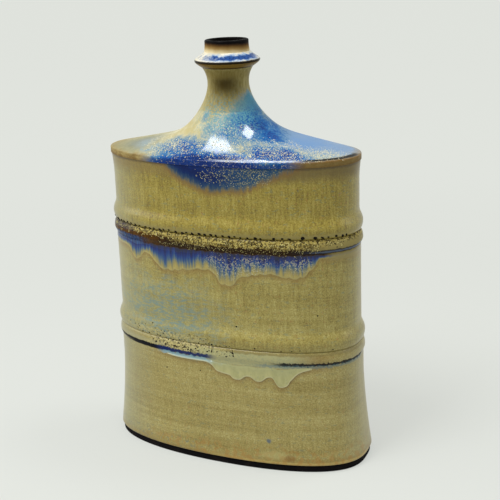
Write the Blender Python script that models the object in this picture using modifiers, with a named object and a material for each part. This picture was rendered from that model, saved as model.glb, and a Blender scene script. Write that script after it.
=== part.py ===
"""Flattened bottle vase of glazed stoneware, built up from fitted clay sections.

X runs along the oval body, -Y is the front, Z is up, and the origin is the centre of the foot's
underside on the table. All lengths are in metres.
"""
import math
from collections import namedtuple

import bmesh
import bpy

# Oval body: half sizes of the middle wall's outside, and how the other walls stand from it
BODY_HALF_LENGTH = 0.0871
BODY_HALF_DEPTH = 0.0393
LOWER_WALL_SWELL = 0.0012
UPPER_WALL_DRAW_IN = 0.0009
RIM_SWELL = 0.0005
FOOT_FLARE_LENGTH = 0.0057
FOOT_FLARE_DEPTH = 0.0027

# Heights of the sections, which stack up to the whole height of the vase
FOOT_HEIGHT = 0.0051
LOWER_WALL_HEIGHT = 0.0805
MIDDLE_WALL_HEIGHT = 0.0755
UPPER_WALL_HEIGHT = 0.0455
RIM_BAND_HEIGHT = 0.0041
SHOULDER_RISE = 0.0260
NECK_FLARE_HEIGHT = 0.0165
NECK_COVE_HEIGHT = 0.0098
COLLAR_UNDERSIDE_HEIGHT = 0.0031
COLLAR_EDGE_HEIGHT = 0.0024
COLLAR_SLOPE_HEIGHT = 0.0041
LIP_HEIGHT = 0.0074

# Clay thickness and the rebated joints between the sections
WALL_THICKNESS = 0.0055
SHOULDER_THICKNESS = 0.0060
LAP_HEIGHT = 0.0030
LAP_WIDTH_SHARE = 0.4
LAP_WIDTH = WALL_THICKNESS * LAP_WIDTH_SHARE
JOINT_GAP = 0.0003
EDGE_ROUND = 0.0009

# Rolled beads on both sides of the two body seams
BEAD_DROP = 0.0056
BEAD_STEP = 0.0044
BEAD_FADE = 0.0085
LOWER_PLAIN_BAND = 0.0085
LOWER_SEAM_BEAD = 0.0023
LOWER_SEAM_GROOVE = 0.0018
UPPER_SEAM_BEAD = 0.0014
UPPER_SEAM_GROOVE = 0.0026

# Unglazed foot
FOOT_INSET = 0.0012
FOOT_CHAMFER = 0.0009

# Turned neck, collar and lip, from the bore outwards
BORE_RADIUS = 0.0095
BORE_FLARE = 0.0037
BORE_FLARE_HEIGHT = 0.0115
NECK_WALL = 0.0038
NECK_FLARE = 0.0060
NECK_COVE = 0.0030
COLLAR_REACH = 0.0078
LIP_FOOT_WALL = 0.0050
LIP_DRAW_IN = 0.0005
LIP_WALL = 0.0034
LIP_EDGE_ROUND = 0.0007

# Thick glaze that ran down from the beads
GLAZE_THICKNESS = 0.0010
UPPER_RUN_LENGTH = 0.0220
LOWER_RUN_LENGTH = 0.0145

# Curve numbers of the oval: 2 is an ellipse, more is fuller
LENGTH_CURVE = 2.16
DEPTH_CURVE_AT_FOOT = 2.75
DEPTH_CURVE_AT_RIM = 2.11
ROUND_CURVE = 2.0
FLARE_CURVE = 1.6
DOME_CURVE = 7.0
DOME_SLOPE_SHARE = 0.47
NECK_FLARE_CURVE = 1.85
NECK_COVE_CURVE = 2.2
BORE_FLARE_CURVE = 1.6
DOME_DEPTH_CURVE = 1.25

# Sides round the body and the neck, and columns of a glaze run across each side
SIDES = 48
RUN_COLUMNS_PER_SIDE = 4
RUN_ROWS = 3
SHARP_ANGLE = math.radians(40.0)
MERGE_DISTANCE = 0.00001

# Where rings lie along each stretch of the outline
FLARE_RING_SHARES = (0.1, 0.26, 0.46, 0.68, 0.86, 1.0)
INNER_FLARE_RING_SHARES = (1.0, 0.55, 0.22)
BEAD_FLANK_SHARES = (0.0, 0.5, 1.0)
BEAD_ROLL_SHARES = (0.6, 0.88, 1.0)
DOME_RING_SHARES = (0.2, 0.42, 0.6, 0.74, 0.84, 0.91, 0.96, 1.0)
INNER_DOME_RING_SHARES = (1.0, 0.88, 0.7, 0.4)
NECK_FLARE_SHARES = (0.15, 0.4, 0.6, 0.8, 1.0)
NECK_COVE_SHARES = (1.0, 0.8, 0.55, 0.25, 0.0)
BORE_FLARE_SHARES = (0.0, 0.35, 0.7, 1.0)
UPPER_WAIST_SHARE = 0.72
RIM_SWELL_SHARE = 0.6
COLLAR_CREST_SHARE = 0.4
COLLAR_EDGE_SHARE = 0.5
COLLAR_SLOPE_SHARES = (0.55, 0.42)
COLLAR_UNDERSIDE_SHARES = (0.55, 0.55)
LIP_WAIST_SHARE = 0.45

# Lower edge of each glaze run: place along the front, and how far the glaze ran
UPPER_RUN_EDGE_SHARES = (
    (-0.985, 0.12), (-0.86, 0.20), (-0.77, 0.22), (-0.675, 0.57), (-0.58, 0.30), (-0.49, 0.54),
    (-0.38, 0.72), (-0.22, 0.64), (-0.02, 0.56), (0.115, 1.0), (0.215, 0.76), (0.33, 0.62),
    (0.46, 0.56), (0.62, 0.68), (0.73, 0.47), (0.80, 0.08),
)
LOWER_RUN_EDGE_SHARES = (
    (-0.44, 0.05), (-0.27, 0.12), (-0.10, 0.10), (0.02, 0.50), (0.12, 0.62), (0.18, 0.80),
    (0.265, 0.58), (0.345, 0.79), (0.435, 0.53), (0.51, 1.0), (0.58, 0.68), (0.66, 0.24),
    (0.75, 0.06),
)

LOWER_SEAM = FOOT_HEIGHT + LOWER_WALL_HEIGHT
UPPER_SEAM = LOWER_SEAM + MIDDLE_WALL_HEIGHT
RIM_SEAM = UPPER_SEAM + UPPER_WALL_HEIGHT
RIM_TOP = RIM_SEAM + RIM_BAND_HEIGHT
NECK_SEAM = RIM_TOP + SHOULDER_RISE
NECK_WAIST = NECK_SEAM + NECK_FLARE_HEIGHT
COLLAR_SEAM = NECK_WAIST + NECK_COVE_HEIGHT
COLLAR_EDGE_BOTTOM = COLLAR_SEAM + COLLAR_UNDERSIDE_HEIGHT
COLLAR_EDGE_TOP = COLLAR_EDGE_BOTTOM + COLLAR_EDGE_HEIGHT
LIP_SEAM = COLLAR_EDGE_TOP + COLLAR_SLOPE_HEIGHT
MOUTH_TOP = LIP_SEAM + LIP_HEIGHT

FOOT_FLARE_HEIGHT = LOWER_WALL_HEIGHT - BEAD_DROP - BEAD_STEP - LOWER_PLAIN_BAND

BORE_FOOT_RADIUS = BORE_RADIUS + BORE_FLARE
NECK_RADIUS = BORE_RADIUS + NECK_WALL
NECK_FOOT_RADIUS = NECK_RADIUS + NECK_FLARE
NECK_TOP_RADIUS = NECK_RADIUS + NECK_COVE
COLLAR_RADIUS = NECK_RADIUS + COLLAR_REACH
LIP_FOOT_RADIUS = BORE_RADIUS + LIP_FOOT_WALL
LIP_RADIUS = LIP_FOOT_RADIUS - LIP_DRAW_IN
LIP_BORE_RADIUS = LIP_RADIUS - LIP_WALL
SPIGOT_RADIUS = BORE_RADIUS + LAP_WIDTH
REBATE_RADIUS = SPIGOT_RADIUS + JOINT_GAP

Oval = namedtuple("Oval", "half_length half_depth height roundness")


def mix(first, second, share):
    """A value between two others."""
    return first + (second - first) * share


def ease(share):
    """A share that starts and stops gently."""
    return (1.0 - math.cos(math.pi * share)) / 2.0


def roll(share):
    """How far a quarter circle has turned down, from 0 on its crown to 1 at its side."""
    return 1.0 - math.sqrt(1.0 - share * share)


def body_oval(height, growth, flare=0.0):
    """Oval of the body at a height, grown outwards, with a share of the foot's flare."""
    half_length = BODY_HALF_LENGTH + growth + FOOT_FLARE_LENGTH * flare
    half_depth = BODY_HALF_DEPTH + growth + FOOT_FLARE_DEPTH * flare
    return Oval(half_length, half_depth, height, 0.0)


def round_oval(radius, height):
    """A circle, as an oval with equal halves."""
    return Oval(radius, radius, height, 1.0)


def moved(oval, height, growth=0.0):
    """The same oval at another height, grown outwards."""
    return Oval(oval.half_length + growth, oval.half_depth + growth, height, oval.roundness)


def curve_point(oval, index):
    """One corner of an oval, counted anticlockwise from +X."""
    angle = 2.0 * math.pi * index / SIDES
    up_the_body = min(oval.height / RIM_TOP, 1.0)
    depth_curve = mix(DEPTH_CURVE_AT_FOOT, DEPTH_CURVE_AT_RIM, up_the_body)
    depth_curve = mix(depth_curve, ROUND_CURVE, oval.roundness)
    length_curve = mix(LENGTH_CURVE, ROUND_CURVE, oval.roundness)
    along = math.cos(angle)
    across = math.sin(angle)
    x = oval.half_length * math.copysign(abs(along) ** (2.0 / length_curve), along)
    y = oval.half_depth * math.copysign(abs(across) ** (2.0 / depth_curve), across)
    return (x, y, oval.height)


def rebate(seam, inner):
    """Top of a lower section: a land outside, and a step cut down inside it."""
    return [
        moved(inner, seam, LAP_WIDTH + JOINT_GAP),
        moved(inner, seam - LAP_HEIGHT - JOINT_GAP, LAP_WIDTH + JOINT_GAP),
        moved(inner, seam - LAP_HEIGHT - JOINT_GAP),
    ]


def spigot(seam, inner):
    """Bottom of an upper section: a skirt that drops into the rebate below it."""
    return [
        moved(inner, seam - LAP_HEIGHT),
        moved(inner, seam - LAP_HEIGHT, LAP_WIDTH),
        moved(inner, seam + JOINT_GAP, LAP_WIDTH),
    ]


def bead(seam, direction, reach, wall_growth, bead_growth, groove):
    """Rings from the plain wall over a rolled bead into the groove at the seam."""
    crest = seam + direction * BEAD_DROP
    rings = []
    for share in BEAD_FLANK_SHARES:
        height = crest + direction * reach * (1.0 - share)
        rings.append(body_oval(height, mix(wall_growth, bead_growth, ease(share))))
    for share in BEAD_ROLL_SHARES:
        height = mix(crest, seam, share)
        rings.append(body_oval(height, bead_growth - groove * roll(share)))
    return rings


def bead_below(seam, wall_growth, bead_growth, groove):
    """The bead that a wall ends in at its top, rings from the wall up."""
    return bead(seam, -1.0, BEAD_STEP, wall_growth, bead_growth, groove)


def bead_above(seam, wall_growth, bead_growth, groove):
    """The bead that a wall starts with at its bottom, rings from the seam up."""
    rings = bead(seam + JOINT_GAP, 1.0, BEAD_FADE, wall_growth, bead_growth, groove)
    return rings[::-1]


def new_material(name, colour, roughness):
    """Plain finish of one section."""
    material = bpy.data.materials.new(name)
    material.use_nodes = True
    shader = material.node_tree.nodes["Principled BSDF"]
    shader.inputs["Base Color"].default_value = (*colour, 1.0)
    shader.inputs["Roughness"].default_value = roughness
    shader.inputs["Metallic"].default_value = 0.0
    material.diffuse_color = (*colour, 1.0)
    return material


def new_object(name, mesh, material):
    """Object in the vase's collection, shaded smooth between its sharp edges."""
    mesh.materials.append(material)
    mesh.shade_smooth()
    mesh.set_sharp_from_angle(angle=SHARP_ANGLE)
    piece = bpy.data.objects.new(name, mesh)
    VASE.objects.link(piece)
    return piece


def lofted_mesh(name, rings, closed):
    """Skin through rings of unlike ovals, closed on itself or capped at both ends."""
    shape = bmesh.new()
    rows = []
    for ring in rings:
        rows.append([shape.verts.new(curve_point(ring, index)) for index in range(SIDES)])
    pairs = list(zip(rows, rows[1:]))
    if closed:
        pairs.append((rows[-1], rows[0]))
    else:
        shape.faces.new(rows[0])
        shape.faces.new(rows[-1])
    for first, second in pairs:
        for index in range(SIDES):
            after = (index + 1) % SIDES
            shape.faces.new((first[index], first[after], second[after], second[index]))
    bmesh.ops.recalc_face_normals(shape, faces=shape.faces)
    mesh = bpy.data.meshes.new(name)
    shape.to_mesh(mesh)
    shape.free()
    return mesh


def turned_object(name, profile, height, material):
    """Ring turned about Z from a closed profile that runs down its outer side first."""
    mesh = bpy.data.meshes.new(name)
    corners = [(radius, 0.0, level - height) for radius, level in profile]
    edges = [(index, (index + 1) % len(corners)) for index in range(len(corners))]
    mesh.from_pydata(corners, edges, [])
    piece = bpy.data.objects.new(name, mesh)
    piece.location = (0.0, 0.0, height)
    VASE.objects.link(piece)
    mesh.materials.append(material)
    screw = piece.modifiers.new("turned", "SCREW")
    screw.angle = 2.0 * math.pi
    screw.steps = SIDES
    screw.render_steps = SIDES
    screw.use_merge_vertices = True
    screw.merge_threshold = MERGE_DISTANCE
    screw.use_smooth_shade = True
    return piece


def flare_share(height):
    """How much of the foot's flare is left at a height."""
    climbed = min(max((height - FOOT_HEIGHT) / FOOT_FLARE_HEIGHT, 0.0), 1.0)
    return (1.0 - climbed) ** FLARE_CURVE


def foot_inner():
    """Inside of the lower wall where it stands on the foot slab."""
    return body_oval(FOOT_HEIGHT, LOWER_WALL_SWELL - WALL_THICKNESS, 1.0)


def make_foot_slab():
    """Unglazed base slab, with a raised floor that locates the lower wall."""
    outside = body_oval(0.0, LOWER_WALL_SWELL - FOOT_INSET, 1.0)
    rings = [
        moved(outside, 0.0, -FOOT_CHAMFER),
        moved(outside, FOOT_CHAMFER),
        moved(outside, FOOT_HEIGHT),
        moved(foot_inner(), FOOT_HEIGHT, LAP_WIDTH),
        moved(foot_inner(), FOOT_HEIGHT + LAP_HEIGHT, LAP_WIDTH),
    ]
    material = new_material("bare_dark_clay", (0.022, 0.019, 0.018), 0.75)
    new_object("foot_slab", lofted_mesh("foot_slab", rings, False), material)


def make_lower_wall():
    """Lowest wall, flared to the foot, with a bead under the lower seam."""
    bottom = FOOT_HEIGHT + JOINT_GAP
    rings = [
        body_oval(bottom, LOWER_WALL_SWELL - EDGE_ROUND, 1.0),
        body_oval(bottom + EDGE_ROUND, LOWER_WALL_SWELL, flare_share(bottom + EDGE_ROUND)),
    ]
    for share in FLARE_RING_SHARES:
        height = FOOT_HEIGHT + FOOT_FLARE_HEIGHT * share
        rings.append(body_oval(height, LOWER_WALL_SWELL, flare_share(height)))
    rings += bead_below(LOWER_SEAM, LOWER_WALL_SWELL, LOWER_SEAM_BEAD, LOWER_SEAM_GROOVE)
    rings += rebate(LOWER_SEAM, body_oval(LOWER_SEAM, -WALL_THICKNESS))
    for share in INNER_FLARE_RING_SHARES:
        height = FOOT_HEIGHT + FOOT_FLARE_HEIGHT * share
        inside = LOWER_WALL_SWELL - WALL_THICKNESS
        rings.append(body_oval(height, inside, flare_share(height)))
    floor = FOOT_HEIGHT + LAP_HEIGHT + JOINT_GAP
    rings += [
        moved(foot_inner(), floor),
        moved(foot_inner(), floor, LAP_WIDTH + JOINT_GAP),
        moved(foot_inner(), bottom, LAP_WIDTH + JOINT_GAP),
    ]
    material = new_material("tan_glaze_lower", (0.40, 0.31, 0.15), 0.35)
    new_object("lower_wall", lofted_mesh("lower_wall", rings, True), material)


def make_middle_wall():
    """Middle wall between the two beaded seams."""
    inside = body_oval(LOWER_SEAM, -WALL_THICKNESS)
    rings = bead_above(LOWER_SEAM, 0.0, LOWER_SEAM_BEAD, LOWER_SEAM_GROOVE)
    rings += bead_below(UPPER_SEAM, 0.0, UPPER_SEAM_BEAD, UPPER_SEAM_GROOVE)
    rings += rebate(UPPER_SEAM, inside)
    rings += spigot(LOWER_SEAM, inside)
    material = new_material("tan_glaze_middle", (0.43, 0.34, 0.17), 0.32)
    new_object("middle_wall", lofted_mesh("middle_wall", rings, True), material)


def make_upper_wall():
    """Upper wall, drawn in a little above its bead and widening to the rim."""
    inside = body_oval(UPPER_SEAM, -WALL_THICKNESS)
    drawn_in = -UPPER_WALL_DRAW_IN
    rings = bead_above(UPPER_SEAM, drawn_in, UPPER_SEAM_BEAD, UPPER_SEAM_GROOVE)
    rings.append(body_oval(mix(UPPER_SEAM, RIM_SEAM, UPPER_WAIST_SHARE), drawn_in))
    rings.append(body_oval(RIM_SEAM - EDGE_ROUND, mix(drawn_in, RIM_SWELL, RIM_SWELL_SHARE)))
    rings.append(body_oval(RIM_SEAM, drawn_in))
    rings += rebate(RIM_SEAM, inside)
    rings += spigot(UPPER_SEAM, inside)
    material = new_material("tan_glaze_upper", (0.39, 0.30, 0.13), 0.3)
    new_object("upper_wall", lofted_mesh("upper_wall", rings, True), material)


def dome_ring(rim, neck, share, thickness=0.0):
    """Oval of the shoulder: as it climbs, its length draws in early and its depth late."""
    rise = DOME_SLOPE_SHARE * share + (1.0 - DOME_SLOPE_SHARE) * share ** DOME_CURVE
    return Oval(
        mix(rim.half_length, neck.half_length, share),
        mix(rim.half_depth, neck.half_depth, rise ** DOME_DEPTH_CURVE),
        RIM_TOP + SHOULDER_RISE * rise - thickness,
        share,
    )


def make_shoulder():
    """Domed shoulder with a banded rim, going from the oval body to the round neck."""
    rim = body_oval(RIM_TOP, RIM_SWELL - EDGE_ROUND)
    neck = round_oval(NECK_FOOT_RADIUS, NECK_SEAM)
    bore = round_oval(BORE_FOOT_RADIUS, NECK_SEAM)
    inside = body_oval(RIM_SEAM, -WALL_THICKNESS)
    rings = [
        body_oval(RIM_SEAM + JOINT_GAP, RIM_SWELL - EDGE_ROUND),
        body_oval(RIM_SEAM + JOINT_GAP + EDGE_ROUND, RIM_SWELL),
        body_oval(RIM_TOP - EDGE_ROUND, RIM_SWELL),
        rim,
    ]
    for share in DOME_RING_SHARES:
        rings.append(dome_ring(rim, neck, share))
    rings += rebate(NECK_SEAM, bore)
    for share in INNER_DOME_RING_SHARES:
        rings.append(dome_ring(inside, bore, share, SHOULDER_THICKNESS))
    rings += spigot(RIM_SEAM, inside)
    material = new_material("blue_grey_glaze", (0.30, 0.36, 0.42), 0.2)
    new_object("shoulder", lofted_mesh("shoulder", rings, True), material)


def make_neck():
    """Turned neck: wide at the shoulder, narrow in the middle, coved out under the collar."""
    profile = []
    for share in NECK_COVE_SHARES:
        radius = mix(NECK_RADIUS, NECK_TOP_RADIUS, share ** NECK_COVE_CURVE)
        profile.append((radius, mix(NECK_WAIST, COLLAR_SEAM, share)))
    for share in NECK_FLARE_SHARES:
        radius = mix(NECK_RADIUS, NECK_FOOT_RADIUS, share ** NECK_FLARE_CURVE)
        profile.append((radius, mix(NECK_WAIST, NECK_SEAM + JOINT_GAP, share)))
    profile += [
        (BORE_FOOT_RADIUS + LAP_WIDTH, NECK_SEAM + JOINT_GAP),
        (BORE_FOOT_RADIUS + LAP_WIDTH, NECK_SEAM - LAP_HEIGHT),
        (BORE_FOOT_RADIUS, NECK_SEAM - LAP_HEIGHT),
    ]
    for share in BORE_FLARE_SHARES:
        radius = mix(BORE_RADIUS, BORE_FOOT_RADIUS, (1.0 - share) ** BORE_FLARE_CURVE)
        profile.append((radius, NECK_SEAM + BORE_FLARE_HEIGHT * share))
    profile += turned_rebate(COLLAR_SEAM)
    material = new_material("tan_glaze_neck", (0.33, 0.27, 0.13), 0.28)
    turned_object("neck", profile, NECK_SEAM, material)


def turned_rebate(seam):
    """Profile up the bore, over the step of a turned section's top and out to its land."""
    return [
        (BORE_RADIUS, seam - LAP_HEIGHT - JOINT_GAP),
        (REBATE_RADIUS, seam - LAP_HEIGHT - JOINT_GAP),
        (REBATE_RADIUS, seam),
    ]


def turned_spigot(seam):
    """Profile in over a turned section's bottom and down round the skirt to the bore."""
    return [
        (SPIGOT_RADIUS, seam + JOINT_GAP),
        (SPIGOT_RADIUS, seam - LAP_HEIGHT),
        (BORE_RADIUS, seam - LAP_HEIGHT),
    ]


def make_collar():
    """Turned collar: a sharp flange whose top slopes up to the lip."""
    bottom = COLLAR_SEAM + JOINT_GAP
    slope_in, slope_up = COLLAR_SLOPE_SHARES
    under_in, under_down = COLLAR_UNDERSIDE_SHARES
    profile = [
        (LIP_FOOT_RADIUS, LIP_SEAM),
        (
            mix(COLLAR_RADIUS, LIP_FOOT_RADIUS, slope_in),
            mix(COLLAR_EDGE_TOP, LIP_SEAM, slope_up),
        ),
        (COLLAR_RADIUS - EDGE_ROUND, COLLAR_EDGE_TOP),
        (COLLAR_RADIUS, mix(COLLAR_EDGE_TOP, COLLAR_EDGE_BOTTOM, COLLAR_CREST_SHARE)),
        (COLLAR_RADIUS - EDGE_ROUND * COLLAR_EDGE_SHARE, COLLAR_EDGE_BOTTOM),
        (
            mix(COLLAR_RADIUS, NECK_TOP_RADIUS, under_in),
            mix(COLLAR_EDGE_BOTTOM, bottom, under_down),
        ),
        (NECK_TOP_RADIUS, bottom),
    ]
    profile += turned_spigot(COLLAR_SEAM)
    profile += turned_rebate(LIP_SEAM)
    material = new_material("cream_glaze", (0.52, 0.47, 0.33), 0.25)
    turned_object("collar", profile, COLLAR_SEAM, material)


def make_lip():
    """Turned lip: the short tube of the mouth, burnt dark at its edge."""
    profile = [
        (LIP_RADIUS - LIP_EDGE_ROUND, MOUTH_TOP),
        (LIP_RADIUS, MOUTH_TOP - LIP_EDGE_ROUND),
        (LIP_RADIUS, mix(LIP_SEAM, MOUTH_TOP, LIP_WAIST_SHARE)),
        (LIP_FOOT_RADIUS, LIP_SEAM + JOINT_GAP),
    ]
    profile += turned_spigot(LIP_SEAM)
    profile += [
        (BORE_RADIUS, LIP_SEAM),
        (LIP_BORE_RADIUS, MOUTH_TOP - LIP_EDGE_ROUND),
        (LIP_BORE_RADIUS + LIP_EDGE_ROUND, MOUTH_TOP),
    ]
    turned_object("lip", profile, LIP_SEAM, new_material("burnt_rim", (0.045, 0.033, 0.026), 0.4))


def run_length(edge_shares, place):
    """How far a glaze run reaches at a place along the front, eased between its marks."""
    for (left, near), (right, far) in zip(edge_shares, edge_shares[1:]):
        if place <= right:
            share = min(max((place - left) / (right - left), 0.0), 1.0)
            return mix(near, far, ease(share))
    return edge_shares[-1][1]


def facet_point(oval, column):
    """A point on the flat between two corners of an oval."""
    index = int(math.floor(column))
    first = curve_point(oval, index)
    second = curve_point(oval, index + 1)
    return tuple(mix(a, b, column - index) for a, b in zip(first, second))


def make_glaze_run(name, top, reach, edge_shares, wall_growth, material):
    """Skin of thick glaze on the front of a wall, with drips along its lower edge."""
    half_length = body_oval(top, wall_growth).half_length
    columns = []
    for step in range(SIDES // 2 * RUN_COLUMNS_PER_SIDE + 1):
        column = SIDES / 2.0 + step / RUN_COLUMNS_PER_SIDE
        place = facet_point(body_oval(top, wall_growth), column)[0] / half_length
        if edge_shares[0][0] <= place <= edge_shares[-1][0]:
            columns.append((column, run_length(edge_shares, place) * reach))
    shape = bmesh.new()
    grid = []
    for column, length in columns:
        line = []
        for row in range(RUN_ROWS + 1):
            height = top - length * row / RUN_ROWS
            flare = flare_share(height) if height < LOWER_SEAM else 0.0
            oval = body_oval(height, wall_growth + JOINT_GAP, flare)
            line.append(shape.verts.new(facet_point(oval, column)))
        grid.append(line)
    for left, right in zip(grid, grid[1:]):
        for row in range(RUN_ROWS):
            shape.faces.new((left[row], left[row + 1], right[row + 1], right[row]))
    mesh = bpy.data.meshes.new(name)
    shape.to_mesh(mesh)
    shape.free()
    run = new_object(name, mesh, material)
    skin = run.modifiers.new("thickness", "SOLIDIFY")
    skin.thickness = GLAZE_THICKNESS
    skin.offset = 1.0


def make_glaze_runs():
    """The cobalt run under the upper seam and the pale run under the lower seam."""
    under_bead = BEAD_DROP + BEAD_STEP + JOINT_GAP
    cobalt = new_material("cobalt_run", (0.045, 0.10, 0.34), 0.18)
    top = UPPER_SEAM - under_bead
    make_glaze_run("glaze_run_upper", top, UPPER_RUN_LENGTH, UPPER_RUN_EDGE_SHARES, 0.0, cobalt)
    pale = new_material("pale_run", (0.50, 0.52, 0.38), 0.2)
    top = LOWER_SEAM - under_bead
    swell = LOWER_WALL_SWELL
    make_glaze_run("glaze_run_lower", top, LOWER_RUN_LENGTH, LOWER_RUN_EDGE_SHARES, swell, pale)


def clear_scene():
    """Take out whatever the file opens with."""
    for item in list(bpy.data.objects):
        bpy.data.objects.remove(item, do_unlink=True)


clear_scene()
VASE = bpy.data.collections.new("ceramic_vase")
bpy.context.scene.collection.children.link(VASE)
make_foot_slab()
make_lower_wall()
make_middle_wall()
make_upper_wall()
make_shoulder()
make_neck()
make_collar()
make_lip()
make_glaze_runs()
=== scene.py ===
"""Dressed bottle vase: thrown clay form, running glazes, crystals, pinholes and a soft studio.

X runs along the oval body, -Y is the glazed front and Z is up, in metres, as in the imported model.
"""

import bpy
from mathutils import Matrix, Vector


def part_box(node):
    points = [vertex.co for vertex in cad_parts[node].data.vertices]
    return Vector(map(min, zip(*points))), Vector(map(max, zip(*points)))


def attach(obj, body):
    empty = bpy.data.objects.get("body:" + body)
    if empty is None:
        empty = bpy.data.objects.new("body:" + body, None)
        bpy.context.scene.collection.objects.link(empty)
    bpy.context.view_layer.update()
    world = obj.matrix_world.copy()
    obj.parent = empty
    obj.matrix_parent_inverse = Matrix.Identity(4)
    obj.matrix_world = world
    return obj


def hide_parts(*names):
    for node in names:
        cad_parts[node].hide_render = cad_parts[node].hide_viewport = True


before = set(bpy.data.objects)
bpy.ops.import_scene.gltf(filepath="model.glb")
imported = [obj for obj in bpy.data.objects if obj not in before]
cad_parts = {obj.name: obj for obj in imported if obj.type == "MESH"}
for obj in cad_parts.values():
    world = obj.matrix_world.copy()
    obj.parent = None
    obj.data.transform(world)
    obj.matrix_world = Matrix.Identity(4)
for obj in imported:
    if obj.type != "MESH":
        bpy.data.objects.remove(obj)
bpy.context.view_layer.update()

import math
from collections import namedtuple

import bmesh
import bpy
from bpy.props import FloatProperty, FloatVectorProperty, IntProperty, PointerProperty
from bpy.types import Operator, Panel, PropertyGroup
from mathutils import Quaternion, Vector

bl_info = {
    "name": "Bottle vase",
    "version": (1, 0, 0),
    "blender": (4, 5, 0),
    "location": "3D view > Sidebar > Vase",
    "description": "Builds the visible pieces and glazes of a thrown bottle vase round its frame",
    "category": "Object",
}

# Heights of the seams, read from the frame
LAP_HEIGHT = 0.0030
FOOT_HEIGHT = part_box("foot_slab")[1].z - LAP_HEIGHT
LOWER_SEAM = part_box("lower_wall")[1].z
UPPER_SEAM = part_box("middle_wall")[1].z
RIM_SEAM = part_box("upper_wall")[1].z
NECK_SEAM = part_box("shoulder")[1].z
COLLAR_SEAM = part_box("neck")[1].z
LIP_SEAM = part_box("collar")[1].z
MOUTH_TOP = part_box("lip")[1].z

# Beads, bands and clay thickness
RIM_BAND_HEIGHT = 0.0041
RIM_TOP = RIM_SEAM + RIM_BAND_HEIGHT
WALL_THICKNESS = 0.0055
SHOULDER_THICKNESS = 0.0060
LAP_WIDTH = 0.0022
JOINT_GAP = 0.0003
EDGE_ROUND = 0.0009
BEAD_DROP = 0.0056
BEAD_STEP = 0.0044
BEAD_FADE = 0.0085
LOWER_PLAIN_BAND = 0.0085
LOWER_SEAM_BEAD = 0.0023
LOWER_SEAM_GROOVE = 0.0018
UPPER_SEAM_BEAD = 0.0014
UPPER_SEAM_GROOVE = 0.0026
LOWER_WALL_SWELL = 0.0012
UPPER_WALL_DRAW_IN = 0.0009
UPPER_WAIST_SHARE = 0.72
RIM_SWELL = 0.0005
RIM_SWELL_SHARE = 0.6
RIM_GROOVE = 0.00012
FOOT_INSET = 0.0012
FOOT_CHAMFER = 0.0009
FOOT_GAP = 0.00005
FOOT_FLARE_HEIGHT = LOWER_SEAM - FOOT_HEIGHT - BEAD_DROP - BEAD_STEP - LOWER_PLAIN_BAND
FLARE_CURVE = 1.6
FLARE_TRIM = 0.99

# Half sizes of the oval body, read from the frame
BODY_HALF_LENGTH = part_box("middle_wall")[1].x - LOWER_SEAM_BEAD
BODY_HALF_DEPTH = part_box("middle_wall")[1].y - LOWER_SEAM_BEAD
FOOT_FLARE_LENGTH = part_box("foot_slab")[1].x + FOOT_INSET - LOWER_WALL_SWELL - BODY_HALF_LENGTH
FOOT_FLARE_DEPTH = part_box("foot_slab")[1].y + FOOT_INSET - LOWER_WALL_SWELL - BODY_HALF_DEPTH

# Turned neck, collar and lip
NECK_WAIST = NECK_SEAM + 0.0165
BORE_RADIUS = 0.0095
BORE_FLARE_HEIGHT = 0.0115
BORE_FOOT_RADIUS = BORE_RADIUS + 0.0037
NECK_RADIUS = 0.0133
NECK_FOOT_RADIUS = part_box("neck")[1].x
NECK_TOP_RADIUS = 0.0163
COLLAR_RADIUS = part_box("collar")[1].x
COLLAR_EDGE_BOTTOM = COLLAR_SEAM + 0.0031
COLLAR_EDGE_TOP = COLLAR_EDGE_BOTTOM + 0.0024
COLLAR_ROUND = 0.0016
LIP_FOOT_RADIUS = 0.0145
LIP_RADIUS = 0.0140
LIP_BORE_RADIUS = 0.0106
LIP_ROUND = 0.0011

# Curve numbers of the oval: 2 is an ellipse, more is fuller
LENGTH_CURVE = 2.16
FOOT_DEPTH_CURVE = 2.75
RIM_DEPTH_CURVE = 2.11
DOME_CURVE = 7.0
DOME_SLOPE_SHARE = 0.47
DOME_DEPTH_CURVE = 1.25
NECK_FLARE_CURVE = 1.85
NECK_COVE_CURVE = 2.2
BORE_FLARE_CURVE = 1.6

# Lower edge of each run: place along the front, and share of the run's length that it fell
UPPER_RUN_TOP = UPPER_SEAM - BEAD_DROP - BEAD_STEP - JOINT_GAP
UPPER_RUN_MARKS = (
    (-0.985, 0.12), (-0.86, 0.20), (-0.77, 0.22), (-0.675, 0.57), (-0.58, 0.30), (-0.49, 0.54),
    (-0.38, 0.72), (-0.22, 0.64), (-0.02, 0.56), (0.115, 1.0), (0.215, 0.76), (0.33, 0.62),
    (0.46, 0.56), (0.62, 0.68), (0.73, 0.47), (0.80, 0.08),
)
LOWER_RUN_TOP = LOWER_SEAM - BEAD_DROP - BEAD_STEP - JOINT_GAP
LOWER_RUN_MARKS = (
    (-0.44, 0.05), (-0.27, 0.12), (-0.10, 0.10), (0.02, 0.50), (0.12, 0.62), (0.18, 0.80),
    (0.265, 0.58), (0.345, 0.79), (0.435, 0.53), (0.51, 1.0), (0.58, 0.68), (0.66, 0.24),
    (0.75, 0.06),
)
POOL_MARKS = (
    (-0.52, 0.0), (-0.40, 0.14), (-0.28, 0.50), (-0.14, 0.80), (0.06, 1.0), (0.20, 0.96),
    (0.44, 0.60), (0.62, 0.28), (0.80, 0.0),
)
SCALLOP_TURNS = 72.0
SCALLOP_SWAY_TURNS = 37.0

# Single pits in the walls: x and z in millimetres
PIT_MARKS = (
    (-47.1, 94.7), (-44.6, 91.8), (-37.5, 64.1), (-11.1, 66.7), (16.1, 101.3), (67.8, 110.8),
)

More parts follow.
